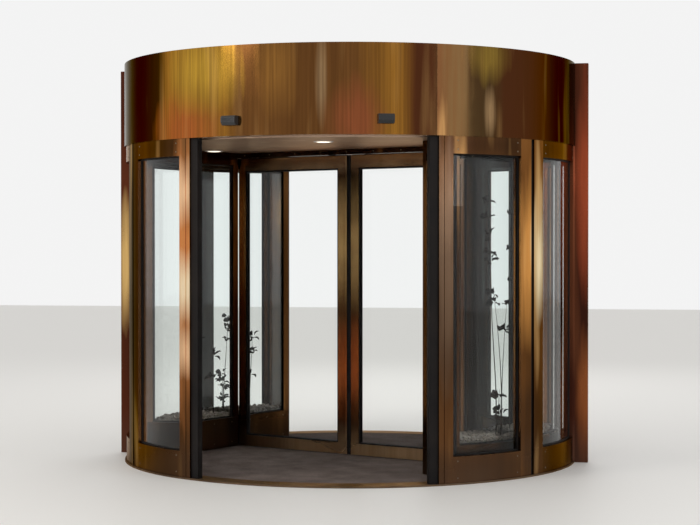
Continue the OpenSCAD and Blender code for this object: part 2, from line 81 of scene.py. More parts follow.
def make_camera():
    """A camera at the photograph's own place, that looks at the middle of the door."""
    data = bpy.data.cameras.new("door_camera")
    data.lens = LENS
    data.clip_end = 200
    camera = bpy.data.objects.new("door_camera", data)
    bpy.context.scene.collection.objects.link(camera)
    side = math.radians(CAMERA_SIDE_ANGLE)
    place = Vector((math.sin(side), -math.cos(side), 0)) * CAMERA_DISTANCE
    place.z = EYE_HEIGHT
    camera.location = place
    look = Vector((0, 0, AIM_HEIGHT)) - place
    camera.rotation_euler = look.to_track_quat("-Z", "Y").to_euler()
    bpy.context.scene.camera = camera
    return camera


camera = make_camera()
print("camera at", tuple(round(v, 3) for v in camera.location))

# %% [markdown]
# ## Sizes that the new pieces share
#
# The new pieces sit on the construction, so they start from its driving sizes. Angles on the drum
# are measured from the front, towards the right. The rotor stands parked at a slant, so its pieces
# are described with the wing line on the X axis and then turned to that angle.

# %% Sizes in metres and degrees
# The drum: its radius, the face of its walls, its panes, and the angles where panes begin and end.
DRUM_R = cad_high.y
WALL_OUT = 1.712
GLASS_IN = 1.670
GLASS_OUT = 1.682
GLASS_LOW = 0.1923
GLASS_HIGH = 2.2597
JAMB_END = 34.29
POST_START = 54.46
POST_END = 63.48
WALL_END = 88.05

# The rotor and its showcases, which flare outwards from the inner wall at CASE_X.
ROTOR_R = 1.600
PARK_ANGLE = -25.0
CASE_X = 1.075
CASE_HALF = 0.640
CASE_FLARE = 23.0
CASE_BAR = 0.045
CASE_CORNER = 29.07
CASE_OUTER_POST = 26.87
CASE_SIDE = 0.3514
CASE_LOW = 0.2503
CASE_HIGH = 2.2767

# The pocket in the middle of a showcase, measured from the wing line.
POCKET_EDGE = 0.098
POCKET_FACE = 0.046

# The pane of a leaf, and the face of its frame.
LEAF_X0 = 0.096
LEAF_X1 = 1.007
LEAF_LOW = 0.105
LEAF_HIGH = 2.2297
LEAF_FACE = 0.0225

# The mat, the floor ring and the underside of the canopy.
MAT_R = 1.560
MAT_TOP = 0.010
FLOOR_TOP = 0.012
CANOPY_LOW = 2.380

SIDES = ((True, "right"), (False, "left"))


def on_drum(radius, degrees, z):
    """A point of the drum, by its angle from the front towards the right."""
    a = math.radians(degrees)
    return Vector((radius * math.sin(a), -radius * math.cos(a), z))


def on_rotor(x, y, z, right=True):
    """A point of the rotor, described with the wing line on X, at the parked angle."""
    turn = Matrix.Rotation(math.radians(PARK_ANGLE + (0 if right else 180)), 3, "Z")
    return turn @ Vector((x, y, z))


print("drum radius", round(DRUM_R, 3), "rotor radius", ROTOR_R)

# %% [markdown]
# ## Building node trees by script
#
# Light, finishes and repeated shapes are all made of nodes. A node's input takes either a plain value
# or a link from another node. Written out, every link is a line of its own. These helpers fill inputs
# by name or in order, whichever of the two it is, so that a tree reads like a short sum.

# %% Helpers for node trees


def join(tree, values, sockets):
    """Gives each socket its value: a link from another socket, or a plain value."""
    for value, socket in zip(values, sockets):
        if isinstance(value, bpy.types.NodeSocket):
            tree.links.new(value, socket)
        elif value is not None:
            socket.default_value = value


def fill(tree, node, **inputs):
    """Fills a node's inputs by name, where an underscore stands for a space."""
    join(tree, inputs.values(), [node.inputs[label.replace("_", " ")] for label in inputs])
    return node


def put(tree, kind, **inputs):
    """A new node with its inputs filled by name."""
    return fill(tree, tree.nodes.new(kind), **inputs)


def add_math(tree, operation, a, b=None, clamp=False):
    """A math node; returns its result."""
    node = tree.nodes.new("ShaderNodeMath")
    node.operation = operation
    node.use_clamp = clamp
    join(tree, (a, b), node.inputs)
    return node.outputs[0]


def add_vector_math(tree, operation, a, b=None, scale=None):
    """A vector math node; returns its result, which is a number for a length or a dot product."""
    node = tree.nodes.new("ShaderNodeVectorMath")
    node.operation = operation
    join(tree, (a, b, None, scale), node.inputs)
    return node.outputs["Value" if operation in ("LENGTH", "DOT_PRODUCT") else "Vector"]


def split_vector(tree, vector):
    """The X, Y and Z of a vector."""
    return put(tree, "ShaderNodeSeparateXYZ", Vector=vector).outputs


def add_inputs(tree, inputs):
    """Gives a tree named inputs; each has a kind and a usual value."""
    for label, kind, value in inputs:
        socket = tree.interface.new_socket(label, in_out="INPUT", socket_type=f"NodeSocket{kind}")
        if value is not None:
            socket.default_value = value


# %% [markdown]
# ## Floor, backdrop and light
#
# Polished bronze shows whatever stands round it, so its surroundings matter as much as the metal. A
# picture could light it, but would put its own shapes into the metal for good. Here the floor is plain
# and pale, and the world is a soft pale grey that the camera, the metal and the glass all see.
# Three large soft lamps give the shapes a bright side and a dark side.

# %% Floor, backdrop and light
FLOOR_SIZE = 60.0
FLOOR_COLOUR = (0.80, 0.79, 0.77, 1)
FLOOR_ROUGHNESS = 0.55
BACKDROP_COLOUR = (0.90, 0.90, 0.90, 1)
WORLD_COLOUR = (0.90, 0.89, 0.87, 1)
WORLD_STRENGTH = 0.85


def make_floor():
    """A plain pale floor, which keeps the object's shadow."""
    half = FLOOR_SIZE / 2
    mesh = bpy.data.meshes.new("studio_floor")
    corners = [(-half, -half, 0), (half, -half, 0), (half, half, 0), (-half, half, 0)]
    mesh.from_pydata(corners, [], [(0, 1, 2, 3)])
    floor = bpy.data.objects.new("studio_floor", mesh)
    bpy.context.scene.collection.objects.link(floor)
    material = bpy.data.materials.new("studio_floor")
    material.use_nodes = True
    shader = material.node_tree.nodes["Principled BSDF"]
    shader.inputs["Base Color"].default_value = FLOOR_COLOUR
    shader.inputs["Roughness"].default_value = FLOOR_ROUGHNESS
    mesh.materials.append(material)


def make_world():
    """Pale grey light from all round; camera, glossy and transmission rays see the backdrop."""
    world = bpy.data.worlds.new("studio")
    bpy.context.scene.world = world
    world.use_nodes = True
    tree = world.node_tree
    tree.nodes.clear()
    rays = tree.nodes.new("ShaderNodeLightPath").outputs
    bounced = add_math(tree, "MAXIMUM", rays["Is Glossy Ray"], rays["Is Transmission Ray"])
    seen = add_math(tree, "MAXIMUM", rays["Is Camera Ray"], bounced)
    around = put(tree, "ShaderNodeBackground", Color=WORLD_COLOUR, Strength=WORLD_STRENGTH)
    backdrop = put(tree, "ShaderNodeBackground", Color=BACKDROP_COLOUR)
    mix = tree.nodes.new("ShaderNodeMixShader")
    join(tree, (seen, around.outputs[0], backdrop.outputs[0]), mix.inputs)
    put(tree, "ShaderNodeOutputWorld", Surface=mix.outputs[0])


def make_lamp(name, place, aim, size, watts, colour):
    """A large soft lamp that points at a place on the object."""
    data = bpy.data.lights.new(name, "AREA")
    data.shape = "RECTANGLE"
    data.size, data.size_y = size
    data.energy = watts
    data.color = colour
    lamp = bpy.data.objects.new(name, data)
    bpy.context.scene.collection.objects.link(lamp)
    lamp.location = place
    lamp.rotation_euler = (Vector(aim) - Vector(place)).to_track_quat("-Z", "Y").to_euler()


make_floor()
make_world()
make_lamp("key_lamp", (-6.5, -7.5, 6.0), (0, 0, 1.4), (3.0, 4.0), 260, (1.0, 0.96, 0.90))
make_lamp("fill_lamp", (7.5, -5.0, 4.0), (0, 0, 1.4), (2.5, 4.0), 90, (0.95, 0.97, 1.0))
make_lamp("back_lamp", (0.0, 8.0, 6.0), (0, 0, 1.6), (5.0, 3.0), 120, (1.0, 1.0, 1.0))
bpy.context.scene.view_settings.view_transform = "Standard"
print("lamps:", [light.name for light in bpy.data.lights])

# %% [markdown]
# ## Patterns that several finishes share
#
# A finish is a base colour, a roughness and a bump, and each of them changes over the surface. The
# changes could be painted as pictures, but procedural ones stay sharp at any distance and need no
# unwrapping. What more than one finish needs is built once as a node group. A group gives out only
# values, about from 0 to 1, and each material mixes them with its own colours. They start from noise
# in object coordinates, stretched along the way that the metal was worked.

# %% Helpers for node groups


def new_group(name, inputs, outputs):
    """A shader node group with named inputs and float outputs."""
    tree = bpy.data.node_groups.new(name, "ShaderNodeTree")
    add_inputs(tree, inputs)
    for label in outputs:
        tree.interface.new_socket(label, in_out="OUTPUT", socket_type="NodeSocketFloat")
    print("node group", name, "gives", ", ".join(outputs))
    return tree, tree.nodes.new("NodeGroupInput").outputs, tree.nodes.new("NodeGroupOutput").inputs


def object_place(tree):
    """The point of the surface in object coordinates."""
    return tree.nodes.new("ShaderNodeTexCoord").outputs["Object"]


def stretched_noise(tree, stretch, scale, detail):
    """Noise in object coordinates, stretched by a vector; returns its value."""
    where = put(tree, "ShaderNodeMapping", Vector=object_place(tree), Scale=stretch).outputs[0]
    noise = put(tree, "ShaderNodeTexNoise", Vector=where, Scale=scale, Detail=detail)
    return noise.outputs["Fac"]


def spread(tree, value, low, high):
    """Spreads the range from low to high over 0 to 1."""
    node = put(tree, "ShaderNodeMapRange", Value=value, From_Min=low, From_Max=high)
    return node.outputs["Result"]


# %% [markdown]
# Rolled and hand polished sheet mirrors its surroundings, and here that shows as painted reflection:
# soft upright patches of darker and lighter metal, narrow painted highlights, and faint streaks that
# are partly the sheet's grain and partly painted reflection. Each is a noise of its own, drawn out
# upright by a small number for Z. Three noises in one group cost little, and a finish then takes as
# much of each as it needs.

# %% Painted sheen


def make_painted_sheen():
    """Painted reflection patches and highlights, and faint streaks; each from 0 to 1."""
    tree, inside, out = new_group(
        "painted sheen",
        [("Patch Scale", "Float", 4.0), ("Glint Scale", "Float", 7.0)],
        ["Patches", "Glints", "Streaks"],
    )
    patches = stretched_noise(tree, (1, 1, 0.16), inside["Patch Scale"], 1.0)
    painted_glints = stretched_noise(tree, (1, 1, 0.10), inside["Glint Scale"], 1.5)
    streaks = stretched_noise(tree, (1, 1, 0.02), 60.0, 2.0)
    tree.links.new(spread(tree, patches, 0.36, 0.64), out["Patches"])
    tree.links.new(spread(tree, painted_glints, 0.58, 0.74), out["Glints"])
    tree.links.new(spread(tree, streaks, 0.30, 0.70), out["Streaks"])
    return tree


PAINTED_SHEEN = make_painted_sheen()

# %% [markdown]
# The canopy's sheet mirrors its surroundings as broad upright zones, one after the other round the
# drum, and these reflections are painted into its colour. Noise can't place them, so this group
# measures the angle of a point instead, and a ramp of painted reflection tones is laid over it. The
# same zones serve for the front and for the back. A small wave keeps their borders from being dead
# straight.

# %% Angle round the drum, for the painted reflections


def make_around():
    """How far a point lies round the front or back half of the drum, from 0 to 1, a little wavy."""
    tree, inside, out = new_group("round the drum", [("Waviness", "Float", 0.02)], ["Share"])
    x, y, _ = split_vector(tree, object_place(tree))
    slope = add_math(tree, "DIVIDE", x, add_math(tree, "MULTIPLY", y, -1.0))
    angle = add_math(tree, "ARCTANGENT", slope)
    wave = add_math(tree, "SUBTRACT", stretched_noise(tree, (1, 1, 0.08), 9.0, 3.0), 0.5)
    moved = add_math(tree, "MULTIPLY", wave, inside["Waviness"])
    share = add_math(tree, "ADD", spread(tree, angle, -math.pi / 2, math.pi / 2), moved)
    tree.links.new(share, out["Share"])
    return tree


AROUND = make_around()

# %% [markdown]
# Jambs, posts and stiles get single soft spots of painted highlight and painted shade, lighter or
# darker than the metal round them. A spot is the distance from a point, measured with its own size in
# X, Y and Z, and broken up by upright streaks. A painted mask would do the same, but a centre and a
# size are easier to move.

# %% Spots of painted highlight and shade


def make_painted_spot():
    """A soft mask round a point, for painted highlight and shade, broken by upright streaks; 0 to 1."""
    tree, inside, out = new_group(
        "painted light spot",
        [("Centre", "Vector", (0, 0, 0)), ("Size", "Vector", (1, 1, 1)), ("Raggedness", "Float", 0.8)],
        ["Mask"],
    )
    away = add_vector_math(tree, "SUBTRACT", object_place(tree), inside["Centre"])
    length = add_vector_math(tree, "LENGTH", add_vector_math(tree, "DIVIDE", away, inside["Size"]))
    wave = add_math(tree, "SUBTRACT", stretched_noise(tree, (1, 1, 0.12), 14.0, 2.0), 0.5)
    ragged = add_math(tree, "MULTIPLY", wave, inside["Raggedness"])
    tree.links.new(spread(tree, add_math(tree, "ADD", length, ragged), 1.1, 0.30), out["Mask"])
    return tree


PAINTED_SPOT = make_painted_spot()

# %% [markdown]
# A brush leaves fine grain in metal, and use leaves finger marks, specks, and dust that lies thickest
# near the floor. Grain is a noise drawn out along one way. Marks are a plain noise, and dust fades
# out with height, so it needs no painting by hand either.

# %% Grain, marks and dust
DUST_HEIGHT = 0.35


def make_grain():
    """Fine brushed grain that runs upright or level."""
    tree, inside, out = new_group("brushed grain", [("Scale", "Float", 90.0)], ["Upright", "Level"])
    upright = stretched_noise(tree, (6, 6, 0.25), inside["Scale"], 2.0)
    level = stretched_noise(tree, (0.4, 0.4, 8), inside["Scale"], 2.0)
    tree.links.new(upright, out["Upright"])
    tree.links.new(level, out["Level"])
    return tree


def make_clouds():
    """Clouds of finger marks, dust near the floor, and fine specks."""
    tree, inside, out = new_group(
        "marks and dust",
        [("Mark Scale", "Float", 3.5), ("Speck Scale", "Float", 160.0)],
        ["Marks", "Specks", "Dust"],
    )
    marks = stretched_noise(tree, (1, 1, 1), inside["Mark Scale"], 5.0)
    specks = stretched_noise(tree, (1, 1, 1), inside["Speck Scale"], 1.0)
    height = split_vector(tree, object_place(tree))["Z"]
    low = add_math(tree, "SUBTRACT", 1.0, add_math(tree, "DIVIDE", height, DUST_HEIGHT), clamp=True)
    haze = stretched_noise(tree, (1, 1, 1), 2.0, 0.0)
    dust = add_math(tree, "MULTIPLY", low, spread(tree, haze, 0.1, 0.9), clamp=True)
    tree.links.new(spread(tree, marks, 0.35, 0.68), out["Marks"])
    tree.links.new(spread(tree, specks, 0.60, 0.72), out["Specks"])
    tree.links.new(dust, out["Dust"])
    return tree


GRAIN = make_grain()
CLOUDS = make_clouds()

# %% [markdown]
# Hands and cleaning rub the edges of metal bright. The Bevel node gives the normal that a rounded edge
# would have. Where it turns away from the true normal there is an edge, so the two are compared and
# the result is broken up by noise. That finds every edge without any unwrapping.

# %% Edge wear


def make_edge_wear():
    """1 along convex and concave edges and 0 on flat metal, broken up by noise."""
    tree, inside, out = new_group(
        "edge wear", [("Radius", "Float", 0.0025), ("Break Up", "Float", 35.0)], ["Wear"]
    )
    rounded = put(tree, "ShaderNodeBevel", Radius=inside["Radius"])
    rounded.samples = 4
    flat = tree.nodes.new("ShaderNodeNewGeometry").outputs["Normal"]
    match = add_vector_math(tree, "DOT_PRODUCT", rounded.outputs[0], flat)
    turned = add_math(tree, "SUBTRACT", 1.0, match, clamp=True)
    strong = add_math(tree, "MULTIPLY", turned, 5.0, clamp=True)
    noise = stretched_noise(tree, (1, 1, 1), inside["Break Up"], 3.0)
    wear = add_math(tree, "MULTIPLY", strong, spread(tree, noise, 0.40, 0.60), clamp=True)
    tree.links.new(wear, out["Wear"])
    return tree


EDGE_WEAR = make_edge_wear()

# %% [markdown]
# ## Bronze
#
# The frames, posts, canopy and ceiling are all bronze coloured metal, and differ in how much they
# were polished. Each could have a material of its own, but then a change of grain or dust would have
# to be made many times. One function makes them all instead. The colour wanders between a dark, a
# middle and a light bronze in upright patches, glints and streaks, which are mostly painted reflection
# and painted highlight; soft spots add more painted highlight and painted shade. Edges are rubbed
# brighter, and the lowest part is dull with dust.

# %% Helpers for materials


def place_group(tree, group, **values):
    """Puts a node group into a material with its own values; returns its outputs."""
    node = tree.nodes.new("ShaderNodeGroup")
    node.node_tree = group
    return fill(tree, node, **values).outputs


def mix_colour(tree, factor, a, b):
    """Mixes two colours; each is a socket or an RGB triple."""
    node = tree.nodes.new("ShaderNodeMix")
    node.data_type = "RGBA"
    fill(tree, node, Factor=factor)
    colours = [(*c, 1) if isinstance(c, tuple) else c for c in (a, b)]
    join(tree, colours, [s for s in node.inputs if s.type == "RGBA"])
    return [s for s in node.outputs if s.type == "RGBA"][0]


def new_material(name):
    """An empty material; returns it, its node tree and its Principled shader."""
    material = bpy.data.materials.new(name)
    material.use_nodes = True
    tree = material.node_tree
    return material, tree, tree.nodes["Principled BSDF"]


def bump(tree, shader, height, strength, distance):
    """Raises the surface by a height value."""
    node = put(tree, "ShaderNodeBump", Strength=strength, Distance=distance, Height=height)
    fill(tree, shader, Normal=node.outputs[0])


# %% [markdown]
# Metal that is seen almost along its surface turns into a mirror, and in a pale studio such edges
# would glow. The rim colour is the Specular Tint, which is what metal reflects at that slant. A dark
# one keeps the ends of the canopy and the sides of the posts as dark as the photograph has them.

# %% The bronze finish
WARM_RIM = (0.70, 0.52, 0.37)
DARK_RIM = (0.42, 0.39, 0.33)
DUST_COLOUR = (0.16, 0.12, 0.09)
DUST_SHARE = 0.25
DUST_DULLNESS = 0.25
MARK_DULLNESS = 0.07
REFLECTION_SHARE = 0.65


def reflection_ramp(tree, reflection_tones):
    """Broad upright bands of painted reflection that follow each other round the drum."""
    ramp = tree.nodes.new("ShaderNodeValToRGB")
    steps = ramp.color_ramp.elements
    while len(steps) < len(reflection_tones):
        steps.new(0.5)
    for step, (share, colour) in zip(steps, reflection_tones):
        step.position = share
        step.color = (*colour, 1)
    tree.links.new(place_group(tree, AROUND)["Share"], ramp.inputs[0])
    return ramp.outputs["Color"]


def bronze(
    name, dark, middle, light, rough, patch=4.0, glint=7.0, painted_glints=0.6, level=False, wear=0.3,
    streaks=0.14, reflection_tones=None, painted_spots=(), ragged=0.8, rim=WARM_RIM,
):
    """A bronze finish between satin and polished, with painted light and shade in its colour."""
    material, tree, shader = new_material(name)
    sheen = place_group(tree, PAINTED_SHEEN, Patch_Scale=patch, Glint_Scale=glint)
    clouds = place_group(tree, CLOUDS)
    patches = sheen["Patches"]
    # On the canopy band the painted reflection tones stand in for the middle colour, and the patches vary
    # them only a little.
    if reflection_tones:
        middle = reflection_ramp(tree, reflection_tones)
        lesser = add_math(tree, "MULTIPLY", patches, 1 - REFLECTION_SHARE)
        patches = add_math(tree, "ADD", lesser, REFLECTION_SHARE)
    # Soft patches of painted reflection between the dark and the middle bronze.
    colour = mix_colour(tree, patches, dark, middle)
    # Spots of painted highlight and painted shade go over that colour.
    for centre, size, tone in painted_spots:
        spot = place_group(tree, PAINTED_SPOT, Centre=centre, Size=size, Raggedness=ragged)
        colour = mix_colour(tree, spot["Mask"], colour, tone)
    edges = place_group(tree, EDGE_WEAR)
    # The glints mix in the light colour as painted highlights; the streaks are partly grain and partly
    # painted reflection; the worn edges and the dust are real.
    for mask, share, tone in (
        (sheen["Glints"], painted_glints, light), (sheen["Streaks"], streaks, dark),
        (edges["Wear"], wear, light), (clouds["Dust"], DUST_SHARE, DUST_COLOUR),
    ):
        colour = mix_colour(tree, add_math(tree, "MULTIPLY", mask, share), colour, tone)
    marked = add_math(tree, "MULTIPLY", clouds["Marks"], MARK_DULLNESS)
    dusty = add_math(tree, "MULTIPLY", clouds["Dust"], DUST_DULLNESS)
    gloss = add_math(tree, "ADD", add_math(tree, "ADD", marked, rough), dusty, clamp=True)
    fill(tree, shader, Base_Color=colour, Metallic=1.0, Specular_Tint=(*rim, 1), Roughness=gloss)
    grain = place_group(tree, GRAIN, Scale=90.0)
    bump(tree, shader, grain["Level" if level else "Upright"], 0.06, 0.0004)
    print("bronze", name, "with", len(painted_spots), "painted_spots")
    return material


# %% [markdown]
# The canopy band is polished sheet, the shiniest metal of the door. Its colour holds painted
# reflections, in zones that run from dark at both ends through gold, brown, red and olive, with narrow
# borders. A few soft spots add painted reflection in the corners that are lighter or redder than their
# zone.

# %% Finish of the canopy band
# Colours of the painted reflections round the band.
DARK_REFLECTION, BROWN_REFLECTION = (0.034, 0.017, 0.009), (0.170, 0.072, 0.020)
RED_REFLECTION, GOLD_REFLECTION, OLIVE_REFLECTION = (0.080, 0.024, 0.010), (0.36, 0.160, 0.024), (0.066, 0.040, 0.016)
BAND_REFLECTIONS = [
    (0.00, DARK_REFLECTION), (0.27, DARK_REFLECTION), (0.285, GOLD_REFLECTION), (0.39, GOLD_REFLECTION), (0.41, BROWN_REFLECTION),
    (0.56, BROWN_REFLECTION), (0.61, GOLD_REFLECTION), (0.64, RED_REFLECTION), (0.66, RED_REFLECTION), (0.68, OLIVE_REFLECTION),
    (0.75, OLIVE_REFLECTION), (0.77, RED_REFLECTION), (0.85, RED_REFLECTION), (0.87, DARK_REFLECTION), (1.00, DARK_REFLECTION),
]
polished_bronze = bronze(
    "polished_bronze", (0.060, 0.022, 0.007), None, (0.55, 0.31, 0.11), 0.10,
    patch=2.4, glint=11.0, painted_glints=0.20, streaks=0.45, reflection_tones=BAND_REFLECTIONS, rim=DARK_RIM,
    # Spots of painted reflection and painted highlight on the band.
    painted_spots=[
        ((-0.92, -1.46, 2.44), (0.36, 0.36, 0.28), (0.46, 0.13, 0.030)),
        ((-0.20, -1.71, 2.84), (0.16, 0.16, 0.34), (0.27, 0.122, 0.028)),
        ((0.11, -1.72, 2.76), (0.045, 0.045, 0.34), (0.30, 0.185, 0.090)),
        ((0.34, -1.69, 2.48), (0.22, 0.22, 0.30), (0.27, 0.080, 0.030)),
        ((1.19, -1.25, 2.93), (0.18, 0.18, 0.20), (0.24, 0.150, 0.028)),
        ((-0.76, -1.55, 2.84), (0.34, 0.34, 0.32), (0.56, 0.320, 0.040)),
        ((1.20, -1.24, 2.55), (0.05, 0.05, 0.20), (0.34, 0.21, 0.10)),
    ],
)

# %% [markdown]
# The jambs and rails of the drum and the frames of the leaves are drawn sections, a little duller than
# the band. The left jamb and the inner stiles get painted highlights, in warm spots one above the
# other, and the rails of the leaves are painted lighter too. The drum's own rails, above and below the
# panes, are darkened with painted shade.

# %% Finish of the frames and leaves
frame_bronze = bronze(
    "frame_bronze", (0.035, 0.014, 0.006), (0.110, 0.048, 0.018), (0.36, 0.19, 0.065), 0.16,
    # Painted shade on the drum's kick and head rails, and painted highlights on both jambs.
    painted_spots=[
        ((0.0, 0.0, 0.10), (3.0, 3.0, 0.19), (0.055, 0.026, 0.012)),
        ((0.0, 0.0, 2.33), (3.0, 3.0, 0.15), (0.034, 0.016, 0.008)),
        ((-0.90, -1.43, 1.50), (0.17, 0.17, 1.05), (0.64, 0.24, 0.075)),
        ((-0.90, -1.43, 2.00), (0.13, 0.13, 0.24), (0.90, 0.56, 0.32)),
        ((-0.90, -1.43, 1.33), (0.13, 0.13, 0.26), (0.95, 0.74, 0.48)),
        ((-0.90, -1.43, 0.90), (0.13, 0.13, 0.20), (0.90, 0.56, 0.32)),
        ((0.92, -1.43, 1.50), (0.12, 0.12, 0.90), (0.160, 0.098, 0.060)),
    ],
)
leaf_bronze = bronze(
    "leaf_bronze", (0.060, 0.022, 0.008), (0.190, 0.088, 0.032), (0.42, 0.24, 0.085), 0.16,
    # Painted highlights on the stiles and rails, and a red painted reflection low on the stiles.
    painted_spots=[
        ((0.06, 0.00, 1.66), (0.34, 0.34, 0.52), (0.72, 0.47, 0.19)),
        ((0.06, 0.00, 0.66), (0.34, 0.34, 0.42), (0.58, 0.15, 0.042)),
        ((0.00, 0.00, 2.28), (1.20, 1.20, 0.10), (0.52, 0.33, 0.18)),
        ((0.00, 0.00, 0.05), (1.20, 1.20, 0.20), (0.62, 0.40, 0.22)),
        ((-0.95, 0.44, 1.70), (0.12, 0.12, 0.50), (0.70, 0.45, 0.18)),
    ],
    ragged=0.3,
)

# %% [markdown]
# The middle posts are nearly as polished as the band. Painted shade lies on the left ones and low on
# the right ones, with painted highlights above it. The posts at the facade are a duller metal, painted
# redder to stand for a red reflection, with long painted highlights along their height.

# %% Finish of the posts
post_bronze = bronze(
    "post_bronze", (0.075, 0.028, 0.009), (0.22, 0.090, 0.026), (0.70, 0.42, 0.17), 0.14, painted_glints=0.8,
    rim=DARK_RIM,
    # Painted shade on the left middle posts and low on the right ones, painted highlights above.
    painted_spots=[
        ((-1.46, -0.88, 1.30), (0.30, 0.30, 1.40), (0.060, 0.032, 0.017)),
        ((1.46, -0.88, 0.35), (0.30, 0.30, 0.80), (0.070, 0.034, 0.017)),
        ((1.43, -0.94, 1.55), (0.12, 0.12, 0.66), (0.66, 0.30, 0.080)),
        ((1.50, -0.82, 1.58), (0.09, 0.09, 0.48), (0.95, 0.76, 0.46)),
    ],
)
facade_bronze = bronze(
    "facade_bronze", (0.040, 0.012, 0.007), (0.090, 0.024, 0.011), (0.22, 0.075, 0.030), 0.26, painted_glints=0.4,
    # Painted highlights, red and gold, along the facade posts.
    painted_spots=[
        ((1.80, 0.0, 2.10), (0.075, 0.30, 0.85), (0.33, 0.065, 0.026)),
        ((1.80, 0.0, 0.50), (0.075, 0.30, 0.50), (0.26, 0.080, 0.026)),
        ((-1.785, 0.0, 1.50), (0.050, 0.30, 0.55), (0.66, 0.42, 0.150)),
    ],
)

# %% [markdown]
# The plinths are dark, and their grain lies level. The ceiling is satin, and its colour is painted much
# paler to stand for the light of the downlights along it. The floor ring is worn dull by use.

# %% Finish of the plinths, ceiling and floor ring
plinth_bronze = bronze(
    "plinth_bronze", (0.022, 0.010, 0.005), (0.055, 0.024, 0.010), (0.15, 0.075, 0.030), 0.20,
    level=True, painted_glints=0.4,
)
# Pale colour painted in for the light of the downlights along the ceiling.
ceiling_bronze = bronze(
    "ceiling_bronze", (0.54, 0.39, 0.30), (0.66, 0.50, 0.39), (0.78, 0.63, 0.50), 0.42,
    patch=1.2, level=True, wear=0.2,
)
floor_metal = bronze(
    "floor_metal", (0.090, 0.056, 0.034), (0.16, 0.105, 0.065), (0.30, 0.22, 0.14), 0.34, level=True
)

# %% [markdown]
# ## Glass
#
# The panes are real slabs of glass with two faces, and several of them stand behind each other. With
# the index of window glass each face would add a grey veil. A low index keeps the row as clear as it
# looks in the photograph, and a slight green tint still makes thick glass read as glass. Thin sheets
# without refraction would be clear too, but would lose the dark edges.

# %% Glass
GLASS_IOR = 1.2


def clear_glass(name, tint):
    """Clear glass with a slight tint and faint marks in its gloss."""
    material, tree, shader = new_material(name)
    marks = place_group(tree, CLOUDS, Mark_Scale=2.0)["Marks"]
    fill(
        tree, shader, Base_Color=(*tint, 1), Transmission_Weight=1.0, IOR=GLASS_IOR,
        Roughness=add_math(tree, "MULTIPLY", marks, 0.010),
    )
    return material


wall_glass = clear_glass("wall_glass", (0.965, 0.985, 0.98))
case_glass = clear_glass("case_glass", (0.975, 0.99, 0.985))
leaf_glass = clear_glass("leaf_glass", (0.975, 0.99, 0.985))
print("glass:", wall_glass.name, case_glass.name, leaf_glass.name)

# %% [markdown]
# ## Rubber, mat, plastic, twigs and stones
#
# Everything that isn't metal or glass is rough and plain, but never one flat colour. Rubber and
# bristles are nearly black, the mat is dark textile, and the lamps have white trims. One function
# makes them all: two colours in clouds, paler specks, and a fine bump.

# %% Dull finishes


def dull_finish(name, dark, light, rough, specks=0.2, grain=60.0, gloss=0.5):
    """A rough finish whose colour wanders between two values, with specks and fine bump."""
    material, tree, shader = new_material(name)
    clouds = place_group(tree, CLOUDS, Mark_Scale=5.0)
    colour = mix_colour(tree, clouds["Marks"], dark, light)
    pale = tuple(min(1.0, c * 1.8 + 0.03) for c in light)
    speck = add_math(tree, "MULTIPLY", clouds["Specks"], specks)
    spreading = add_math(tree, "MULTIPLY", clouds["Marks"], 0.15)
    fill(
        tree, shader, Base_Color=mix_colour(tree, speck, colour, pale), Specular_IOR_Level=gloss,
        Roughness=add_math(tree, "ADD", spreading, rough, clamp=True),
    )
    bump(tree, shader, place_group(tree, GRAIN, Scale=grain)["Level"], 0.25, 0.0008)
    print("dull finish", name)
    return material


black_rubber = dull_finish(
    "black_rubber", (0.006, 0.005, 0.005), (0.014, 0.011, 0.010), 0.50, specks=0.1, gloss=0.12
)
black_brush = dull_finish("black_brush", (0.006, 0.006, 0.006), (0.020, 0.018, 0.017), 0.70, gloss=0.15)
entrance_mat = dull_finish(
    "entrance_mat", (0.075, 0.058, 0.048), (0.125, 0.100, 0.083), 0.85, specks=0.4, gloss=0.2
)
sensor_black = dull_finish("sensor_black", (0.010, 0.010, 0.011), (0.022, 0.022, 0.024), 0.28, specks=0.05)
roof_sheet = dull_finish("roof_sheet", (0.13, 0.11, 0.09), (0.21, 0.18, 0.15), 0.55, specks=0.4)
hidden_steel = dull_finish("hidden_steel", (0.28, 0.285, 0.30), (0.38, 0.385, 0.40), 0.42, specks=0.3)
lamp_white = dull_finish("lamp_white", (0.72, 0.70, 0.66), (0.84, 0.82, 0.78), 0.35, specks=0.05)
screw_steel = dull_finish("screw_steel", (0.10, 0.070, 0.045), (0.19, 0.14, 0.09), 0.35, specks=0.1)
mat_yarn = dull_finish(
    "mat_yarn", (0.090, 0.070, 0.062), (0.150, 0.120, 0.108), 0.90, specks=0.5, grain=140.0, gloss=0.2
)
twig_bark = dull_finish("twig_bark", (0.020, 0.012, 0.008), (0.055, 0.033, 0.020), 0.75)
dry_leaf = dull_finish(
    "dry_leaf", (0.008, 0.005, 0.004), (0.028, 0.015, 0.010), 0.62, specks=0.1, gloss=0.2
)
pebble_stone = dull_finish("pebble_stone", (0.20, 0.16, 0.13), (0.42, 0.36, 0.31), 0.60, specks=0.4)
lens_black = dull_finish("lens_black", (0.006, 0.006, 0.007), (0.012, 0.011, 0.013), 0.08, specks=0.0)

# %% [markdown]
# A downlight's lens is frosted glass lit from behind. A real lamp behind it would light the mat as
# well, but here it only has to look lit, so its surface gives off a warm light of its own.

# %% Glow of the lamps


def glowing_lens():
    """Frosted glass lit from behind, in two warm whites that change in clouds."""
    material, tree, shader = new_material("lamp_glow")
    marks = place_group(tree, CLOUDS, Mark_Scale=30.0)["Marks"]
    colour = mix_colour(tree, marks, (1.0, 0.86, 0.66), (1.0, 0.93, 0.80))
    fill(
        tree, shader, Base_Color=colour, Emission_Color=colour, Emission_Strength=1.6, Roughness=0.4
    )
    return material


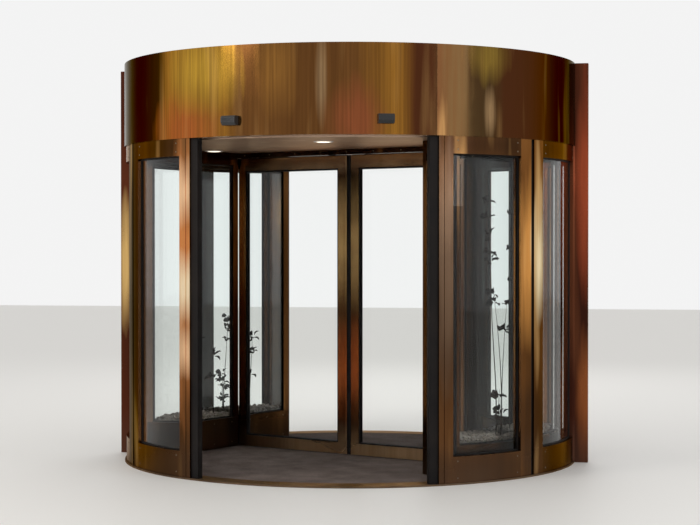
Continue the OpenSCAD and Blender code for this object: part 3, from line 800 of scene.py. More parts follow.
lamp_glow = glowing_lens()
print("glowing finish", lamp_glow.name)

# %% [markdown]
# ## Giving each construction node its finish
#
# The record names a material slot for each node, such as frame bronze for a jamb. Finishes could be
# set node by node, but by slot no node can be forgotten.

# %% Finishes of the construction nodes
FINISHES = {
    "polished_bronze": polished_bronze, "frame_bronze": frame_bronze, "leaf_bronze": leaf_bronze,
    "post_bronze": post_bronze, "facade_bronze": facade_bronze, "plinth_bronze": plinth_bronze,
    "ceiling_bronze": ceiling_bronze, "floor_metal": floor_metal, "wall_glass": wall_glass,
    "case_glass": case_glass, "leaf_glass": leaf_glass, "black_rubber": black_rubber,
    "black_brush": black_brush, "entrance_mat": entrance_mat, "sensor_black": sensor_black,
    "roof_sheet": roof_sheet, "hidden_steel": hidden_steel, "lamp_white": lamp_white,
}


def finish_nodes():
    """Gives every construction node the finish of its slot."""
    for part in frame["record"]["subparts"]:
        node = frame["nodes"][part["node"]]
        node.data.materials.clear()
        node.data.materials.append(FINISHES[part["material_slot"]])


finish_nodes()
print("finished", len(frame["nodes"]), "construction nodes")

# %% [markdown]
# ## Putting a new piece into the model
#
# A new piece could be modelled at the origin and its object moved into place. But the patterns count
# from the origin, so here every mesh has its points where they belong, and its object stays at the
# origin. It gets a finish and the body it moves with.

# %% Helpers for new pieces


def spans(mesh):
    """The mesh's reach along X, Y and Z, in words."""
    for i in range(3):
        values = [v.co[i] for v in mesh.vertices]
        yield f"{min(values):.3f} to {max(values):.3f}"


def add_piece(name, mesh, material, body):
    """Puts a finished mesh into the scene as a piece that rides on a body."""
    mesh.name = name
    if not mesh.materials:
        mesh.materials.append(material)
    piece = bpy.data.objects.new(name, mesh)
    bpy.context.scene.collection.objects.link(piece)
    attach(piece, body)
    print(name, "on", body, "with", len(mesh.polygons), "faces,", *spans(mesh))


def mesh_from(bm, smooth=False):
    """Turns a bmesh into a mesh with its faces pointing outwards."""
    bmesh.ops.remove_doubles(bm, verts=bm.verts, dist=1e-6)
    bmesh.ops.recalc_face_normals(bm, faces=bm.faces)
    mesh = bpy.data.meshes.new("new_piece")
    bm.to_mesh(mesh)
    bm.free()
    for face in mesh.polygons:
        face.use_smooth = smooth
    return mesh


# %% [markdown]
# ## Glazing gaskets
#
# A pane is held by a black rubber gasket that runs round it in the corner between glass and frame.
# It shows as a black line on both sides of every pane. A curve with a square profile could run round
# each pane, but its corners would need care on the bent ones. Here each gasket is a closed loop of
# faces, mitred in the corners. The loop is laid out on the pane, as width, height and depth, and a
# small function then bends or turns that layout into its place, so that flat and curved panes share
# the same code.

# %% Gaskets of the drum
GASKET_W = 0.012
GASKET_T = 0.006


def pane_outline(low, high, inset, steps):
    """The corners of a pane moved in by inset; steps points run along the level sides."""
    (u0, v0), (u1, v1) = low, high
    u0, v0, u1, v1 = u0 + inset, v0 + inset, u1 - inset, v1 - inset
    bottom = [(u0 + (u1 - u0) * i / steps, v0) for i in range(steps + 1)]
    top = [(u1 - (u1 - u0) * i / steps, v1) for i in range(steps + 1)]
    return bottom + top


def gasket_loop(bm, place, low, high, near, far, width=GASKET_W, steps=1):
    """A gasket round a pane; near and far are its depths from the pane's middle."""
    rings = []
    for inset, depth in ((0, near), (width, near), (width * 0.8, far), (0, far)):
        outline = pane_outline(low, high, inset, steps)
        rings.append([bm.verts.new(place(u, v, depth)) for u, v in outline])
    count = len(rings[0])
    for k in range(4):
        a, b = rings[k], rings[(k + 1) % 4]
        for i in range(count):
            j = (i + 1) % count
            bm.faces.new((a[i], a[j], b[j], b[i]))


def wall_gaskets():
    """Gaskets of the eight curved panes of the drum, inside and outside."""
    bm = bmesh.new()
    middle = (GLASS_IN + GLASS_OUT) / 2
    half = (GLASS_OUT - GLASS_IN) / 2
    for start, end in ((JAMB_END, POST_START), (POST_END, WALL_END)):
        for side, back in ((1, 0), (-1, 0), (1, 180), (-1, 180)):
            for sign in (1, -1):
                low = (math.radians(start) * middle, GLASS_LOW)
                high = (math.radians(end) * middle, GLASS_HIGH)

                def place(u, v, depth):
                    angle = back + side * math.degrees(u / middle)
                    return on_drum(middle + sign * depth, angle, v)

                gasket_loop(bm, place, low, high, half, half + GASKET_T, steps=16)
    return mesh_from(bm)


add_piece("wall_gaskets", wall_gaskets(), black_rubber, "drum")

# %% [markdown]
# The showcases have three kinds of pane: two upright panes beside the pocket, two side panes that
# flare outwards, and a bent pane on the outer circle. The first two are flat, and the layout's depth
# is measured square to them. The last one is laid out round the rotor's centre. The gaskets of the
# leaves are deeper, because the glass lies well inside their frames.

# %% Gaskets of the showcases and the leaves
CASE_MIDDLE = CASE_BAR / 2
CORNER_BAR = CASE_BAR * 1.4
ROTOR_GLASS_HALF = 0.005
LEAF_GASKET_W = 0.014
LEAF_GASKET_SINK = 0.004


def case_places():
    """The layout of each pane of a showcase: its function, first corner and last corner."""
    flare = math.radians(CASE_FLARE)
    along = Vector((math.cos(flare), math.sin(flare), 0))
    inward = Vector((math.sin(flare), -math.cos(flare), 0))
    corner = Vector((CASE_X, CASE_HALF, 0))
    ring = ROTOR_R - CASE_MIDDLE

    def inner(u, v, d):
        return Vector((CASE_X + CASE_MIDDLE + d, u, v))

    def side(u, v, d):
        p = corner + along * u + inward * (CASE_MIDDLE + d)
        return Vector((p.x, p.y, v))

    def outer(u, v, d):
        return Vector(((ring + d) * math.cos(u / ring), (ring + d) * math.sin(u / ring), v))

    arc = math.radians(CASE_OUTER_POST) * ring
    inner_end = CASE_HALF - CORNER_BAR / math.cos(flare) + CASE_MIDDLE * math.tan(flare)
    return [
        (inner, (POCKET_EDGE, CASE_LOW), (inner_end, CASE_HIGH), 1),
        (side, (CASE_BAR, CASE_LOW), (CASE_SIDE - CASE_BAR, CASE_HIGH), 1),
        (outer, (-arc, CASE_LOW), (arc, CASE_HIGH), 24),
    ]


def case_gaskets(right):
    """Gaskets of one showcase; its flat panes are there twice, mirrored in the wing line."""
    bm = bmesh.new()
    for layout, low, high, steps in case_places():
        for mirror in (1,) if steps > 1 else (1, -1):
            for sign in (1, -1):

                def place(u, v, depth):
                    p = layout(u, v, sign * depth)
                    return on_rotor(p.x, p.y * mirror, p.z, right)

                near = ROTOR_GLASS_HALF
                gasket_loop(bm, place, low, high, near, near + GASKET_T, steps=steps)
    return mesh_from(bm)


def leaf_gaskets(right):
    """Deep gaskets on both faces of a leaf's pane."""
    bm = bmesh.new()
    for sign in (1, -1):

        def place(u, v, depth):
            return on_rotor(u, sign * depth, v, right)

        low, high = (LEAF_X0, LEAF_LOW), (LEAF_X1, LEAF_HIGH)
        far = LEAF_FACE - LEAF_GASKET_SINK
        gasket_loop(bm, place, low, high, ROTOR_GLASS_HALF, far, width=LEAF_GASKET_W)
    return mesh_from(bm)


for right, side in SIDES:
    add_piece(f"showcase_{side}_gaskets", case_gaskets(right), black_rubber, "rotor")
    add_piece(f"leaf_{side}_gaskets", leaf_gaskets(right), black_rubber, f"leaf_{side}")

# %% [markdown]
# ## Growing things with Geometry Nodes
#
# Screws, bristles, ribs, leaves and pebbles repeat. Loops in Python could place them, but slowly, and
# each size would be buried in the loop. So each kind is made by a Geometry Nodes tree with named
# sizes. It gets a simple mesh that says where the things go, and a direction or a thickness for each
# point of it. The result is kept as a plain mesh, so that the finished model needs no modifiers.

# %% Helpers for Geometry Nodes


def new_tree(name, inputs):
    """A Geometry Nodes tree that takes and gives a geometry, with named inputs besides."""
    tree = bpy.data.node_groups.new(name, "GeometryNodeTree")
    tree.interface.new_socket("Geometry", in_out="OUTPUT", socket_type="NodeSocketGeometry")
    add_inputs(tree, [("Geometry", "Geometry", None)] + inputs)
    return tree, tree.nodes.new("NodeGroupInput").outputs, tree.nodes.new("NodeGroupOutput").inputs


def guide_value(tree, name, kind):
    """What the guide mesh says at each point, under a name."""
    node = put(tree, "GeometryNodeInputNamedAttribute", Name=name)
    node.data_type = kind
    return node.outputs["Attribute"]


def turned_to(tree, axis, way):
    """The rotation that turns an axis of a copy to a direction."""
    node = put(tree, "FunctionNodeAlignRotationToVector", Vector=way)
    node.axis = axis
    return node.outputs[0]


def random_between(tree, kind, low, high, seed):
    """A random number or vector for each point, between two limits."""
    node = tree.nodes.new("FunctionNodeRandomValue")
    node.data_type = kind
    return fill(tree, node, Min=low, Max=high, Seed=seed).outputs["Value"]


def close_tree(tree, geometry, finish, out):
    """Ends a tree with real geometry and its material."""
    real = put(tree, "GeometryNodeRealizeInstances", Geometry=geometry)
    painted = put(tree, "GeometryNodeSetMaterial", Geometry=real.outputs[0], Material=finish)
    tree.links.new(painted.outputs[0], out["Geometry"])


def run_tree(tree, mesh, **values):
    """Runs a tree on a mesh and returns the result as a plain mesh."""
    source = bpy.data.objects.new("source", mesh)
    bpy.context.scene.collection.objects.link(source)
    modifier = source.modifiers.new("tree", "NODES")
    modifier.node_group = tree
    sockets = {s.name: s.identifier for s in tree.interface.items_tree if s.in_out == "INPUT"}
    for label, value in values.items():
        modifier[sockets[label.replace("_", " ")]] = value
    depsgraph = bpy.context.evaluated_depsgraph_get()
    result = bpy.data.meshes.new_from_object(source.evaluated_get(depsgraph))
    bpy.data.objects.remove(source)
    bpy.data.meshes.remove(mesh)
    for layer in [a.name for a in result.attributes if a.name in ("facing", "thickness")]:
        result.attributes.remove(result.attributes[layer])
    return result


def guide_mesh(points, edges=(), facing=None, thickness=None, faces=()):
    """Points and edges for a tree to follow, with a direction or a thickness for each point."""
    mesh = bpy.data.meshes.new("guide")
    mesh.from_pydata([tuple(p) for p in points], list(edges), list(faces))
    if facing is not None:
        layer = mesh.attributes.new("facing", "FLOAT_VECTOR", "POINT")
        layer.data.foreach_set("vector", [v for f in facing for v in f])
    if thickness is not None:
        layer = mesh.attributes.new("thickness", "FLOAT", "POINT")
        layer.data.foreach_set("value", list(thickness))
    return mesh


# %% [markdown]
# ## Screws
#
# The covers are held by small screws with a round recess. Each could be a small turned piece of its
# own, but then some 250 of them would have to be kept alike. One screw head is modelled inside the tree
# instead: a short twelve sided cylinder, whose top face is drawn in and sunk to make the recess. It is
# then placed on every guide point and turned to the way that point faces.

# %% Screw heads


def screw_tree():
    """Places a recessed screw head on every point, turned to the point's direction."""
    tree, inside, out = new_tree(
        "screw heads",
        [("Head Radius", "Float", 0.005), ("Head Height", "Float", 0.0024), ("Finish", "Material", None)],
    )
    head = put(
        tree, "GeometryNodeMeshCylinder", Vertices=12, Radius=inside["Head Radius"],
        Depth=inside["Head Height"],
    )
    rim = put(
        tree, "GeometryNodeExtrudeMesh", Mesh=head.outputs["Mesh"], Selection=head.outputs["Top"],
        Offset_Scale=0.0,
    )
    narrow = put(
        tree, "GeometryNodeScaleElements", Geometry=rim.outputs["Mesh"], Selection=rim.outputs["Top"],
        Scale=0.5,
    )
    sunk = put(
        tree, "GeometryNodeExtrudeMesh", Mesh=narrow.outputs[0], Selection=rim.outputs["Top"],
        Offset_Scale=-0.0012,
    )
    facing = guide_value(tree, "facing", "FLOAT_VECTOR")
    placed = put(
        tree, "GeometryNodeInstanceOnPoints", Points=inside["Geometry"], Instance=sunk.outputs["Mesh"],
        Rotation=turned_to(tree, "Z", facing),
    )
    close_tree(tree, placed.outputs[0], inside["Finish"], out)
    return tree


SCREW_TREE = screw_tree()

# %% [markdown]
# The screws stand in rings under the canopy, on the floor ring and round the roof, along the edges of
# the hatches, at the ends of the kick and head rails, along the header and on the fronts of the
# plinths. All of these places follow from a few radii and heights of the construction.

# %% Places of the screws
RING_SCREWS = 48
CANOPY_SCREW_R = 1.626
FLOOR_SCREW_R = 1.622
ROOF_SCREWS = 24
ROOF_SCREW_R = 1.678
ROOF_TOP = 2.964
HATCH_X = 1.0
HATCH_TOP = 2.976
HATCH_SCREW_EDGE = 0.195
HATCH_SCREW_MIDDLE = 0.065
RAIL_SCREW_HEIGHTS = (0.045, 0.160, 2.290, 2.350)
RAIL_SCREW_INSET = 1.2
HEADER_SCREWS = 9
HEADER_SCREW_HEIGHT = 2.3527
HEADER_SCREW_PITCH = 0.25
PLINTH_SCREW_HEIGHTS = (0.055, 0.215)
PLINTH_SCREW_SIDES = (0.12, 0.34, 0.56)


def ring_screw_places():
    """Screws of the ring under the canopy, the floor ring and the roof."""
    down, up = Vector((0, 0, -1)), Vector((0, 0, 1))
    places = []
    for i in range(RING_SCREWS):
        angle = (i + 0.5) * 360 / RING_SCREWS
        places.append((on_drum(CANOPY_SCREW_R, angle, CANOPY_LOW), down))
        places.append((on_drum(FLOOR_SCREW_R, angle, FLOOR_TOP), up))
    for i in range(ROOF_SCREWS):
        angle = (i + 0.5) * 360 / ROOF_SCREWS
        places.append((on_drum(ROOF_SCREW_R, angle, ROOF_TOP), up))
    return places


def hatch_screw_places():
    """Three screws along each edge of both roof hatches, with every corner taken once."""
    e, m = HATCH_SCREW_EDGE, HATCH_SCREW_MIDDLE
    places = []
    for side in (1, -1):
        for i in range(4):
            for along in (-e, -m, m):
                x, y = ((along, -e), (e, along), (-along, e), (-e, -along))[i]
                places.append((Vector((side * HATCH_X + x, y, HATCH_TOP)), Vector((0, 0, 1))))
    return places


def rail_screw_places():
    """Screws at both ends of each kick rail and head rail."""
    places = []
    for start, end in ((JAMB_END, POST_START), (POST_END, WALL_END)):
        for angle in (start + RAIL_SCREW_INSET, end - RAIL_SCREW_INSET):
            for turn in (angle, -angle, 180 + angle, 180 - angle):
                for z in RAIL_SCREW_HEIGHTS:
                    places.append((on_drum(WALL_OUT, turn, z), on_drum(1, turn, 0)))
    return places


def rotor_screw_places():
    """Screws along both faces of the header, and on the fronts of the plinths."""
    places = []
    for i in range(HEADER_SCREWS):
        x = (i - (HEADER_SCREWS - 1) / 2) * HEADER_SCREW_PITCH
        for side in (1, -1):
            face = on_rotor(x, side * POCKET_FACE, HEADER_SCREW_HEIGHT)
            places.append((face, on_rotor(0, side, 0)))
    for right in (True, False):
        for y in PLINTH_SCREW_SIDES:
            for side in (1, -1):
                for z in PLINTH_SCREW_HEIGHTS:
                    places.append((on_rotor(CASE_X, side * y, z, right), on_rotor(-1, 0, 0, right)))
    return places


drum_screw_places = ring_screw_places() + hatch_screw_places() + rail_screw_places()
for body, places in (("drum", drum_screw_places), ("rotor", rotor_screw_places())):
    guide = guide_mesh([p for p, _ in places], facing=[f for _, f in places])
    screws = run_tree(SCREW_TREE, guide, Finish=screw_steel)
    add_piece(f"{body}_screws", screws, screw_steel, body)

# %% [markdown]
# ## Bristles
#
# Brushes close the gaps where the rotor passes the drum and the floor. The construction has each
# brush as a plain strip. A rough texture on the strip would look like felt, so here thousands of thin
# tapered bristles stand out of it. A guide line runs along the strip, the tree walks along it at a
# fixed pitch, shifts every root a little at random, and lets each bristle lean a little. A bristle is
# a three sided cone, because no more of it shows.

# %% The bristle tree


def bristle_tree():
    """Rows of thin cones along guide lines, each with its own small shift, lean and length."""
    tree, inside, out = new_tree(
        "bristles",
        [
            ("Pitch", "Float", 0.0016), ("Length", "Float", 0.010), ("Spread", "Float", 0.006),
            ("Finish", "Material", None),
        ],
    )
    line = put(tree, "GeometryNodeMeshToCurve", Mesh=inside["Geometry"])
    dots = put(tree, "GeometryNodeResampleCurve", Curve=line.outputs[0])
    dots.mode = "LENGTH"
    fill(tree, dots, Length=inside["Pitch"])
    low = add_vector_math(tree, "SCALE", (-1, -1, -0.05), scale=inside["Spread"])
    high = add_vector_math(tree, "SCALE", (1, 1, 0.05), scale=inside["Spread"])
    shift = random_between(tree, "FLOAT_VECTOR", low, high, seed=11)
    moved = put(tree, "GeometryNodeSetPosition", Geometry=dots.outputs[0], Offset=shift)
    lean = random_between(tree, "FLOAT_VECTOR", (-0.12, -0.12, -0.12), (0.12, 0.12, 0.12), seed=5)
    way = add_vector_math(tree, "ADD", guide_value(tree, "facing", "FLOAT_VECTOR"), lean)
    bristle = put(
        tree, "GeometryNodeMeshCone", Vertices=3, Radius_Top=0.0001, Radius_Bottom=0.0004,
        Depth=inside["Length"],
    )
    placed = put(
        tree, "GeometryNodeInstanceOnPoints", Points=moved.outputs[0],
        Instance=bristle.outputs["Mesh"], Rotation=turned_to(tree, "Z", way),
        Scale=random_between(tree, "FLOAT", 0.8, 1.0, seed=3),
    )
    close_tree(tree, placed.outputs[0], inside["Finish"], out)
    return tree


BRISTLE_TREE = bristle_tree()

# %% [markdown]
# The first brushes belong to the rotor: upright ones on the outer corners of the showcases, which
# sweep along the curved walls, and ones under the showcases, which sweep over the mat.

# %% Brushes of the rotor
CORNER_ROOT_R = 1.6225
CORNER_BRUSH_SHIFT = 0.4
CORNER_BRUSH_HEIGHTS = (0.024, 2.368)
PLINTH_ROOT_R = 1.585
PLINTH_BRUSH_INSET = 0.015
PLINTH_BRUSH_START = 0.05
PLINTH_CORNER_GAP = 0.01
PLINTH_END_GAP = 0.02
PLINTH_ARC = range(-28, 29, 4)
ROOT_HEIGHT = 0.0205


def guide_line(lines):
    """A guide mesh of straight or bent lines; each is a list of points with their directions."""
    points, facing, edges = [], [], []
    for line in lines:
        first = len(points)
        points += [p for p, _ in line]
        facing += [f for _, f in line]
        edges += [(first + i, first + i + 1) for i in range(len(line) - 1)]
    return guide_mesh(points, edges, facing)


def corner_brush_lines():
    """Upright lines on the outer corners of the showcases, reaching for the drum wall."""
    lines = []
    angle = math.radians(CASE_CORNER - CORNER_BRUSH_SHIFT)
    for right in (True, False):
        for side in (1, -1):
            way = Vector((math.cos(angle), side * math.sin(angle), 0))
            root = way * CORNER_ROOT_R
            out = on_rotor(way.x, way.y, 0, right)
            lines.append([(on_rotor(root.x, root.y, z, right), out) for z in CORNER_BRUSH_HEIGHTS])
    return lines


def plinth_brush_lines():
    """Lines under the edges of the showcases, reaching for the mat."""
    down = Vector((0, 0, -1))
    flare = math.radians(CASE_FLARE)
    end = CASE_HALF + CASE_SIDE * math.sin(flare) - PLINTH_END_GAP
    outer = (CASE_X + CASE_SIDE * math.cos(flare), end)
    front = CASE_X + PLINTH_BRUSH_INSET
    corner = (front, CASE_HALF - PLINTH_CORNER_GAP)
    lines = []
    for right in (True, False):
        for side in (1, -1):
            path = [(front, PLINTH_BRUSH_START), corner, outer]
            lines.append([(on_rotor(x, side * y, ROOT_HEIGHT, right), down) for x, y in path])
        arc = [math.radians(a) for a in PLINTH_ARC]
        ring = [(PLINTH_ROOT_R * math.cos(a), PLINTH_ROOT_R * math.sin(a)) for a in arc]
        lines.append([(on_rotor(x, y, ROOT_HEIGHT, right), down) for x, y in ring])
    return lines


corner_bristles = run_tree(BRISTLE_TREE, guide_line(corner_brush_lines()), Finish=black_brush)
add_piece("corner_bristles", corner_bristles, black_brush, "rotor")
plinth_bristles = run_tree(
    BRISTLE_TREE, guide_line(plinth_brush_lines()), Finish=black_brush, Pitch=0.002, Length=0.0078,
    Spread=0.004,
)
add_piece("plinth_bristles", plinth_bristles, black_brush, "rotor")

# %% [markdown]
# A leaf has bristles under its bottom rail, and two rows on top that close the slit below the header.
# The rows on top stand in a holder, a flat strip. A plain box would have edges too sharp to catch any
# light, so its edges are bevelled.

# %% Brushes of the leaves
LEAF_TOP = 2.3247
HOLDER_X0, HOLDER_X1 = 0.004, 1.080
HOLDER_WIDTH = 0.040
HOLDER_HEIGHT = 0.0048
ROUNDED_EDGE = 0.0008
BOTTOM_ROW_ENDS = (0.030, 1.075)
TOP_ROW_ENDS = (0.026, 1.078)
TOP_ROW_SPREAD = 0.015
TOP_ROW_SINK = 0.0002


def rounded_block(bm, place, size):
    """A block with rounded edges, whose own middle and axes a function puts into the model."""
    corners = bmesh.ops.create_cube(bm, size=1)["verts"]
    for v in corners:
        v.co = place(*(c * s for c, s in zip(v.co, size)))
    bm.normal_update()
    edges = list({e for v in corners for e in v.link_edges})
    bmesh.ops.bevel(bm, geom=edges, offset=ROUNDED_EDGE, segments=2, affect="EDGES")


def brush_holder(right):
    """The strip along the top of a leaf that holds its two rows of bristles."""
    bm = bmesh.new()

    def place(x, y, z):
        return on_rotor((HOLDER_X0 + HOLDER_X1) / 2 + x, y, LEAF_TOP + HOLDER_HEIGHT / 2 + z, right)

    rounded_block(bm, place, (HOLDER_X1 - HOLDER_X0, HOLDER_WIDTH, HOLDER_HEIGHT))
    return mesh_from(bm)


def leaf_bottom_brush(right):
    """Dense bristles under the bottom rail of a leaf."""
    line = [(on_rotor(x, 0, ROOT_HEIGHT, right), Vector((0, 0, -1))) for x in BOTTOM_ROW_ENDS]
    return run_tree(
        BRISTLE_TREE, guide_line([line]), Finish=black_brush, Pitch=0.0012, Length=0.0078, Spread=0.006
    )


def leaf_top_brush(right):
    """Two rows of short bristles on the holder."""
    up, root = Vector((0, 0, 1)), LEAF_TOP + HOLDER_HEIGHT - TOP_ROW_SINK
    rows = [
        [(on_rotor(x, y, root, right), up) for x in TOP_ROW_ENDS]
        for y in (-TOP_ROW_SPREAD, TOP_ROW_SPREAD)
    ]
    return run_tree(
        BRISTLE_TREE, guide_line(rows), Finish=black_brush, Pitch=0.0009, Length=0.0038, Spread=0.0015
    )


for right, side in SIDES:
    body = f"leaf_{side}"
    add_piece(f"{body}_bristles", leaf_bottom_brush(right), black_brush, body)
    add_piece(f"{body}_brush_holder", brush_holder(right), black_rubber, body)
    add_piece(f"{body}_top_brush", leaf_top_brush(right), black_brush, body)

# %% [markdown]
# ## Ribs of the mat
#
# The entrance mat is made of textile strips between dark grooves. Each strip has a few thick cords of
# yarn along it. A bump would do from afar, but close to the floor the ribs have to stand up. So a
# guide edge lies where each cord goes, cut to the mat's circle, and the tree sweeps a flat oval
# along it.

# %% Mat ribs
GROOVE_PITCH = 0.060
RIBS_IN_STRIP = 5
RIB_PITCH = 0.0104
RIB_END_GAP = 0.003
RIB_SIDE_GAP = 0.012


def rib_tree():
    """Sweeps a flat oval along guide edges."""
    tree, inside, out = new_tree(
        "mat ribs",
        [("Rib Width", "Float", 0.0086), ("Rib Height", "Float", 0.0018), ("Finish", "Material", None)],
    )
    line = put(tree, "GeometryNodeMeshToCurve", Mesh=inside["Geometry"])
    upright = put(tree, "GeometryNodeSetCurveNormal", Curve=line.outputs[0])
    upright.mode = "Z_UP"
    oval = put(tree, "GeometryNodeCurvePrimitiveCircle", Resolution=8, Radius=0.5)
    size = tree.nodes.new("ShaderNodeCombineXYZ")
    height = add_math(tree, "MULTIPLY", inside["Rib Height"], 2.0)
    join(tree, (inside["Rib Width"], height, 1.0), size.inputs)
    flat = put(tree, "GeometryNodeTransform", Geometry=oval.outputs["Curve"], Scale=size.outputs[0])
    swept = put(
        tree, "GeometryNodeCurveToMesh", Curve=upright.outputs[0], Profile_Curve=flat.outputs[0],
        Fill_Caps=True,
    )
    close_tree(tree, swept.outputs[0], inside["Finish"], out)
    return tree


def rib_guide():
    """An edge for every cord of yarn, along X and cut to the mat's circle."""
    points, edges = [], []
    strips = int(MAT_R / GROOVE_PITCH) + 1
    for strip in range(-strips, strips):
        middle = (strip + 0.5) * GROOVE_PITCH
        for i in range(RIBS_IN_STRIP):
            y = middle + (i - (RIBS_IN_STRIP - 1) / 2) * RIB_PITCH
            if abs(y) <= MAT_R - RIB_SIDE_GAP:
                half = math.sqrt((MAT_R - RIB_END_GAP) ** 2 - y * y)
                edges.append((len(points), len(points) + 1))
                points += [(-half, y, MAT_TOP), (half, y, MAT_TOP)]
    return guide_mesh(points, edges)


mat_ribs = run_tree(rib_tree(), rib_guide(), Finish=mat_yarn)
add_piece("mat_ribs", mat_ribs, mat_yarn, "drum")

# %% [markdown]
# ## Dried twigs in the showcases
#
# Behind the glass stand tall dried twigs with small dark leaves. Drawing each stem by hand would take
# a curve for every one of them. Here a stem is a wandering line that gets thinner upwards, drawn in
# Python with a fixed seed, and the tree gives it a round section. A stem never leaves its half of the
# showcase.

# %% Stems
CASE_FLOOR = 0.250
STEM_R = 0.0045
STEM_X = (CASE_X + 0.065, 1.50)
STEM_Y = (POCKET_FACE + 0.030, 0.54)
STEM_STEP = 0.06
STEM_LEAN = 0.03
STEM_WANDER = 0.035
STEM_TAPER = 0.75
LEAF_REACH = 0.014


def stem_tree():
    """Gives guide lines a round section from their thickness."""
    tree, inside, out = new_tree("stems", [("Sides", "Int", 6), ("Finish", "Material", None)])
    line = put(tree, "GeometryNodeMeshToCurve", Mesh=inside["Geometry"])
    thick = guide_value(tree, "thickness", "FLOAT")
    ring = put(tree, "GeometryNodeCurvePrimitiveCircle", Resolution=inside["Sides"], Radius=1.0)
    swept = put(
        tree, "GeometryNodeCurveToMesh", Curve=line.outputs[0], Profile_Curve=ring.outputs["Curve"],
        Scale=thick, Fill_Caps=True,
    )
    close_tree(tree, swept.outputs[0], inside["Finish"], out)
    return tree


def inside_case(p):
    """Keeps a point between the walls of a showcase and beside the pocket."""
    side = 1 if p.y >= 0 else -1
    x = min(max(p.x, STEM_X[0]), STEM_X[1])
    y = side * min(max(abs(p.y), STEM_Y[0]), STEM_Y[1])
    return Vector((x, y, p.z))


def grow_stem(rng, root, height, radius, levels):
    """One wandering stem: its points, their thickness, and a cluster of leaves at each level."""
    steps = max(6, int(height / STEM_STEP))
    tufts = {round(level * steps) for level in levels}
    lean = Vector((rng.uniform(-STEM_LEAN, STEM_LEAN), rng.uniform(-STEM_LEAN, STEM_LEAN), 0))
    point = Vector(root)
    points, sizes, leaves = [point.copy()], [radius], []
    for i in range(1, steps + 1):
        sway = [rng.uniform(-STEM_WANDER, STEM_WANDER) for _ in range(2)]
        lean += Vector((*sway, 0))
        point = inside_case(point + Vector((lean.x * 0.5, lean.y * 0.5, 1)) * (height / steps))
        points.append(point.copy())
        sizes.append(radius * (1 - STEM_TAPER * i / steps))
        if i in tufts:
            for _ in range(rng.choice((4, 5, 6))):
                way = Vector((rng.uniform(-1, 1), rng.uniform(-1, 1), rng.uniform(-0.5, 0.9)))
                leaves.append((inside_case(point + way * LEAF_REACH), way.normalized()))
    return points, sizes, leaves


# %% [markdown]
# The leaves sit on the twigs in clusters of four to six. A flat plane with a picture of a leaf on it
# vanishes when it is seen from its edge. Each leaf is a small flattened ball instead, which the tree
# pinches at its tips, folds along its middle and curls, so that it stays a closed shape of a few dozen
# faces.

# %% Leaves
LEAF_PINCH = 1.1
LEAF_FOLD = 0.5
LEAF_CURL = -0.7
LEAF_THICKNESS = 0.03


def leaf_blade(tree, inside):
    """A closed leaf of length 1 along X: pinched at both tips, folded and curled."""
    ball = put(tree, "GeometryNodeMeshUVSphere", Segments=8, Rings=5, Radius=0.5)
    lying = put(tree, "GeometryNodeTransform", Geometry=ball.outputs["Mesh"])
    lying.inputs["Rotation"].default_value = (0, math.radians(90), 0)
    x, y, z = split_vector(tree, tree.nodes.new("GeometryNodeInputPosition").outputs[0])
    to_tip = add_math(tree, "MULTIPLY", add_math(tree, "ABSOLUTE", x), LEAF_PINCH)
    pinch = add_math(tree, "SUBTRACT", 1.0, to_tip)
    wide = add_math(tree, "MULTIPLY", add_math(tree, "MULTIPLY", y, pinch), inside["Leaf Width"])
    fold = add_math(tree, "MULTIPLY", add_math(tree, "ABSOLUTE", wide), LEAF_FOLD)
    curl = add_math(tree, "MULTIPLY", add_math(tree, "MULTIPLY", x, x), LEAF_CURL)
    flat = add_math(tree, "MULTIPLY", z, LEAF_THICKNESS)
    lift = add_math(tree, "ADD", add_math(tree, "ADD", fold, curl), flat)
    place = tree.nodes.new("ShaderNodeCombineXYZ")
    join(tree, (add_math(tree, "ADD", x, 0.5), wide, lift), place.inputs)
    bent = put(
        tree, "GeometryNodeSetPosition", Geometry=lying.outputs[0], Position=place.outputs[0]
    )
    return bent.outputs[0]


def leaf_tree():
    """Places a leaf on every point, turned to the point's direction."""
    tree, inside, out = new_tree(
        "twig leaves",
        [("Leaf Length", "Float", 0.060), ("Leaf Width", "Float", 1.05), ("Finish", "Material", None)],
    )
    facing = guide_value(tree, "facing", "FLOAT_VECTOR")
    shortest = add_math(tree, "MULTIPLY", inside["Leaf Length"], 0.65)
    size = random_between(tree, "FLOAT", shortest, inside["Leaf Length"], seed=21)
    placed = put(
        tree, "GeometryNodeInstanceOnPoints", Points=inside["Geometry"],
        Instance=leaf_blade(tree, inside), Rotation=turned_to(tree, "X", facing), Scale=size,
    )
    close_tree(tree, placed.outputs[0], inside["Finish"], out)
    return tree


# %% [markdown]
# Each stem has its place in the showcase, its height, and the shares of its height where leaves grow.
# The places are chosen so that the stems stand where they do in the photograph.

# %% Twigs
STEM_TREE = stem_tree()
LEAF_TREE = leaf_tree()
STEMS = {
    "left": [
        (1.40, -0.17, 0.80, (0.74, 0.83, 0.92, 1.0)), (1.44, -0.21, 0.32, (0.35, 0.7, 1.0)),
        (1.37, -0.14, 0.26, (0.5, 1.0)), (1.30, 0.25, 0.80, (0.6, 0.8, 1.0)),
        (1.33, -0.42, 0.62, (0.5, 0.75, 1.0)), (1.24, 0.16, 0.50, (0.6, 1.0)),
    ],
    "right": [
        (1.43, -0.23, 1.70, (0.75, 0.80, 0.86, 0.93, 1.0)), (1.46, -0.21, 1.04, (0.93, 1.0)),
        (1.47, -0.24, 0.36, (0.5, 0.9)), (1.41, -0.15, 0.30, (0.6, 1.0)),
        (1.30, 0.20, 1.60, (0.7, 0.85, 1.0)), (1.36, 0.30, 0.50, (0.5, 0.9)),
        (1.28, 0.12, 0.95, (0.8, 1.0)),
    ],
}


